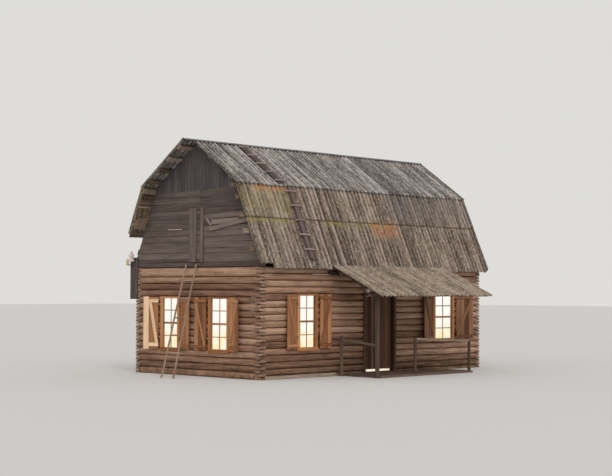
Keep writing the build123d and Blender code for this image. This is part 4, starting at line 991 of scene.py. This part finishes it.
def porch_z(y, drop):
    return PORCH_TOP + (y - PORCH_TOP_Y) * math.tan(PORCH_SLOPE) - drop / math.cos(PORCH_SLOPE)


RAFTER_TAIL = -1.7
HEAD_Z = porch_z(PORCH_TOP_Y, SHEET_UNDER) - 0.0915
RAFTER_FALL = (HEAD_Z - porch_z(RAFTER_TAIL, SHEET_UNDER) + 0.032) / (PORCH_TOP_Y - RAFTER_TAIL)


def rafter_top(y):
    """The upper edge of a porch rafter. Rafters lie flatter than the sheets, to pass under the eave."""
    return HEAD_Z + (y - PORCH_TOP_Y) * RAFTER_FALL


def prism(pile, outline, x0, x1):
    """A timber along X with a section given in Y and Z."""
    seed, tone = RNG.uniform(0, 90), RNG.random()
    pile.tube([[(at(x, y, z), (x + seed, y, z), 0.3) for y, z in outline]
               for x in steps_between(x0, x1, 0.6)], tone)


timbers = Pile()
PORCH_NEAR, PORCH_FAR = PORCH_X + 0.04, PORCH_X + PORCH_WAVES * WAVE - 0.04
RAFTERS, FIRST_RAFTER, LAST_RAFTER, RAFTER_SIZE, BEAM_FRONT = 5, 2.71, 6.89, 0.06, -1.45
for distance in (0.26, 0.95, 1.56):
    upper = PORCH_TOP_Y - distance * math.cos(PORCH_SLOPE)
    lower = upper - 0.09
    prism(timbers, [(upper, porch_z(upper, SHEET_UNDER)), (upper, rafter_top(upper) + GAP),
                    (lower, rafter_top(lower) + GAP), (lower, porch_z(lower, SHEET_UNDER))],
          PORCH_NEAR, PORCH_FAR)
for k in range(RAFTERS):
    x = FIRST_RAFTER + k * (LAST_RAFTER - FIRST_RAFTER) / (RAFTERS - 1)
    cut = RAFTER_TAIL + 0.08
    prism(timbers, [(-GAP, rafter_top(-GAP)), (-GAP, rafter_top(-GAP) - RAFTER_SIZE),
                    (cut, rafter_top(cut) - RAFTER_SIZE), (RAFTER_TAIL, rafter_top(cut) - RAFTER_SIZE),
                    (RAFTER_TAIL, rafter_top(RAFTER_TAIL))], x, x + RAFTER_SIZE)
BEAM_UPPER = rafter_top(BEAM_FRONT) - 0.0603
ledger_top = rafter_top(-0.0603) - 0.0603
beam(timbers, (PORCH_NEAR, -0.0603, ledger_top - 0.09), (PORCH_FAR, -GAP, ledger_top), X)
beam(timbers, (PORCH_NEAR, BEAM_FRONT, BEAM_UPPER - 0.07), (PORCH_FAR, -1.38, BEAM_UPPER), X)
timbers.build("porch_timbers_hewn", (TIMBER,), "dark_timber", ["porch_timbers"])

posts = Pile()
beam(posts, (2.6925, -1.4625, 0.0), (2.7875, -1.3675, BEAM_UPPER - 0.0703), Z)
posts.build("porch_post_hewn", (TIMBER,), "dark_timber", ["porch_post"])
rail = Pile()
for x, y, z, height in ((2.74, -0.195, 0.0, 1.05), (4.24, -1.415, 0.0553, 0.985),
                        (6.54, -1.415, 0.0553, 0.885)):
    beam(rail, (x - 0.035, y - 0.035, z), (x + 0.035, y + 0.035, height), Z)
rail.build("porch_rail_posts", (RAIL,), "dark_timber", ["porch_railing"])
bars = Pile()
plank(bars, (2.74, -0.2303, 0.9325), (2.74, -1.3672, 0.8225), 0.04, 0.055, Z, bow=0.004)
plank(bars, (4.2753, -1.415, 0.9575), (6.5047, -1.415, 0.8575), 0.04, 0.055, Z, bow=0.004)
bars.build("porch_rail_bars", (BATTEN,), "dark_timber")

deck = Pile()
DECK_NEAR, DECK_FAR, DECK_FRONT, DECK_BOARD = 2.7878, 6.61, -1.485, 0.132
for x in (DECK_NEAR + 0.06, (DECK_NEAR + DECK_FAR) / 2, DECK_FAR - 0.06):
    beam(deck, (x - 0.05, DECK_FRONT + 0.03, 0.0), (x + 0.05, -0.003, 0.03), Y)
y = DECK_FRONT + 0.03
while y < -0.02:
    width = min(DECK_BOARD, -0.002 - y)
    plank(deck, (DECK_NEAR + RNG.uniform(0, 0.02), y + width / 2, 0.0425),
          (DECK_FAR - RNG.uniform(0, 0.02), y + width / 2, 0.0425), width - 0.006, 0.025, Z)
    y += DECK_BOARD
front = DECK_FRONT + 0.0135
plank(deck, (DECK_NEAR, front, 0.0275), (DECK_FAR, front, 0.0275), 0.055, 0.026, -Y)
deck.build("porch_deck_boards", (RAIL,), "dark_timber", ["porch_deck"])

foot = Pile()
plank(foot, (0.1503, -0.0143, 0.0475), (2.6922, -0.0143, 0.0475), 0.094, 0.028, -Y, wane=0.006, tone=0.95)
foot.build("base_plank_worn", (BATTEN,), "grey_boards", ["base_plank"])
corner = Pile()
plank(corner, (-0.0252, 4.855, 1.965), (-0.0252, 4.855, 3.08), 0.312, 0.025, -X, wane=0.006)
corner.build("corner_board_worn", (BOARDS,), "brown_joinery", ["corner_board"])

# Insulators on the corner board: a stepped ribbed body on an iron pin
for name, glaze, y, z, size in (("pink_insulator", PORCELAIN, 4.865, 2.97, 1.3),
                                ("yellow_insulator", YELLOW_GLAZE, 4.955, 2.88, 0.8)):
    pins, bodies = Pile(), Pile()
    head = -0.12 if size > 1.0 else -0.18
    pole(pins, (-0.038, y, z), (head, y, z), 0.012, wander=0.0)
    pole(pins, (head, y, z - 0.012), (head, y, z + 0.1 * size), 0.012, wander=0.0)
    for low, high, radius in ((0.0, 0.05, 0.058), (0.05, 0.11, 0.042), (0.11, 0.155, 0.052),
                              (0.155, 0.21, 0.03)):
        pole(bodies, (head, y, z + low * size), (head, y, z + high * size), radius * size,
             wander=0.0, sides=16)
    pins.build(name + "_pin", (IRON,), "hinge_iron")
    bodies.build(name, (glaze,), "lamp_glass")


# Leaning ladder

LADDER_HEIGHT, LADDER_FOOT, LADDER_HEAD, LADDER_REACH = 2.87, -1.1, -0.02, -1.126
LADDER_POLES = (1.97, 2.36), (2.43, 2.74)      # Y at the foot and at the head
RUNGS = (0.63, 1.063, 1.5, 1.99, 2.455)


def ladder_point(foot_at, top_at, height):
    share = height / LADDER_HEIGHT
    x = LADDER_FOOT + share * (LADDER_HEAD - LADDER_FOOT)
    return at(x, foot_at + share * (top_at - foot_at), height)


def ladder_limits(point):
    return at(min(max(point.x, LADDER_REACH), -0.0005), point.y, max(point.z, 0.0))


ladder = Pile()
for foot_at, top_at in LADDER_POLES:
    pole(ladder, ladder_point(foot_at, top_at, -0.03), ladder_point(foot_at, top_at, 2.866), 0.0262,
         taper=0.12, wander=0.02, shape=ladder_limits, tone=0.6)
for height in RUNGS:
    a, b = (ladder_point(*ends, height) for ends in LADDER_POLES)
    reach = (b - a).normalized() * 0.03
    pole(ladder, a - reach, b + reach, 0.018, wander=0.004, tone=RNG.uniform(0.4, 0.9))
ladder.build("leaning_ladder_round", (LADDER,), "pale_batten", ["leaning_ladder"], smooth=True)


# Nodes that keep their shape

for node, material in (("rafters", RAFTER), ("shutter_hinges", IRON), ("door_handle", IRON),
                       ("door_lamp", GLAZE), ("ground_floor", FLOOR)):
    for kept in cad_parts[node].material_slots:
        kept.material = material


# Floor, light and camera

ground = bpy.data.meshes.new("ground")
SIZE = 160.0
ground.from_pydata([(x * SIZE, y * SIZE, -0.001) for x, y in ((-1, -1), (1, -1), (1, 1), (-1, 1))], [],
                   [(0, 1, 2, 3)])
ground.materials.append(Shader("pale_floor").finish(linear((214, 212, 208)), 0.9))
added("ground", ground)

sky = Shader("studio", bpy.data.worlds)
bpy.context.scene.world = sky.owner
background = sky.tree.nodes["Background"]
sky.put(background, {"Color": (1.0, 1.0, 1.0, 1.0), "Strength": 0.62})
seen = sky.node("ShaderNodeBackground", {"Color": linear((222, 221, 218)), "Strength": 1.0})
blend = sky.node("ShaderNodeMixShader", {0: sky.node("ShaderNodeLightPath")["Is Camera Ray"],
                                         1: background.outputs[0], 2: seen[0]})
sky.put(sky.tree.nodes["World Output"], {"Surface": blend[0]})

sun = bpy.data.lights.new("key", "SUN")
sun.energy = 1.25
sun.angle = math.radians(35)
added("key", sun).rotation_euler = at(0.55, 0.75, -0.95).to_track_quat("-Z", "Y").to_euler()

# The camera: focal length in pixels of a view of this width, angles and place
FOCAL, VIEW_WIDTH, FILM = 1396.37, 612.0, 36.0
YAW, PITCH, ROLL = math.radians(43.867), math.radians(2.184), math.radians(0.19)
camera_data = bpy.data.cameras.new("camera")
camera_data.sensor_width = FILM
camera_data.lens = FOCAL * FILM / VIEW_WIDTH
camera_data.clip_end = 500.0
camera = added("camera", camera_data)
forward = at(math.cos(PITCH) * math.cos(YAW), math.cos(PITCH) * math.sin(YAW), math.sin(PITCH))
right = at(math.sin(YAW), -math.cos(YAW), 0.0)
up = right.cross(forward)
right, up = right * math.cos(ROLL) + up * math.sin(ROLL), up * math.cos(ROLL) - right * math.sin(ROLL)
turned = Matrix((right, up, -forward)).transposed().to_4x4()
camera.matrix_world = Matrix.Translation((-27.9775, -26.159, 2.188)) @ turned
bpy.context.scene.camera = camera
bpy.context.scene.view_settings.view_transform = "Standard"
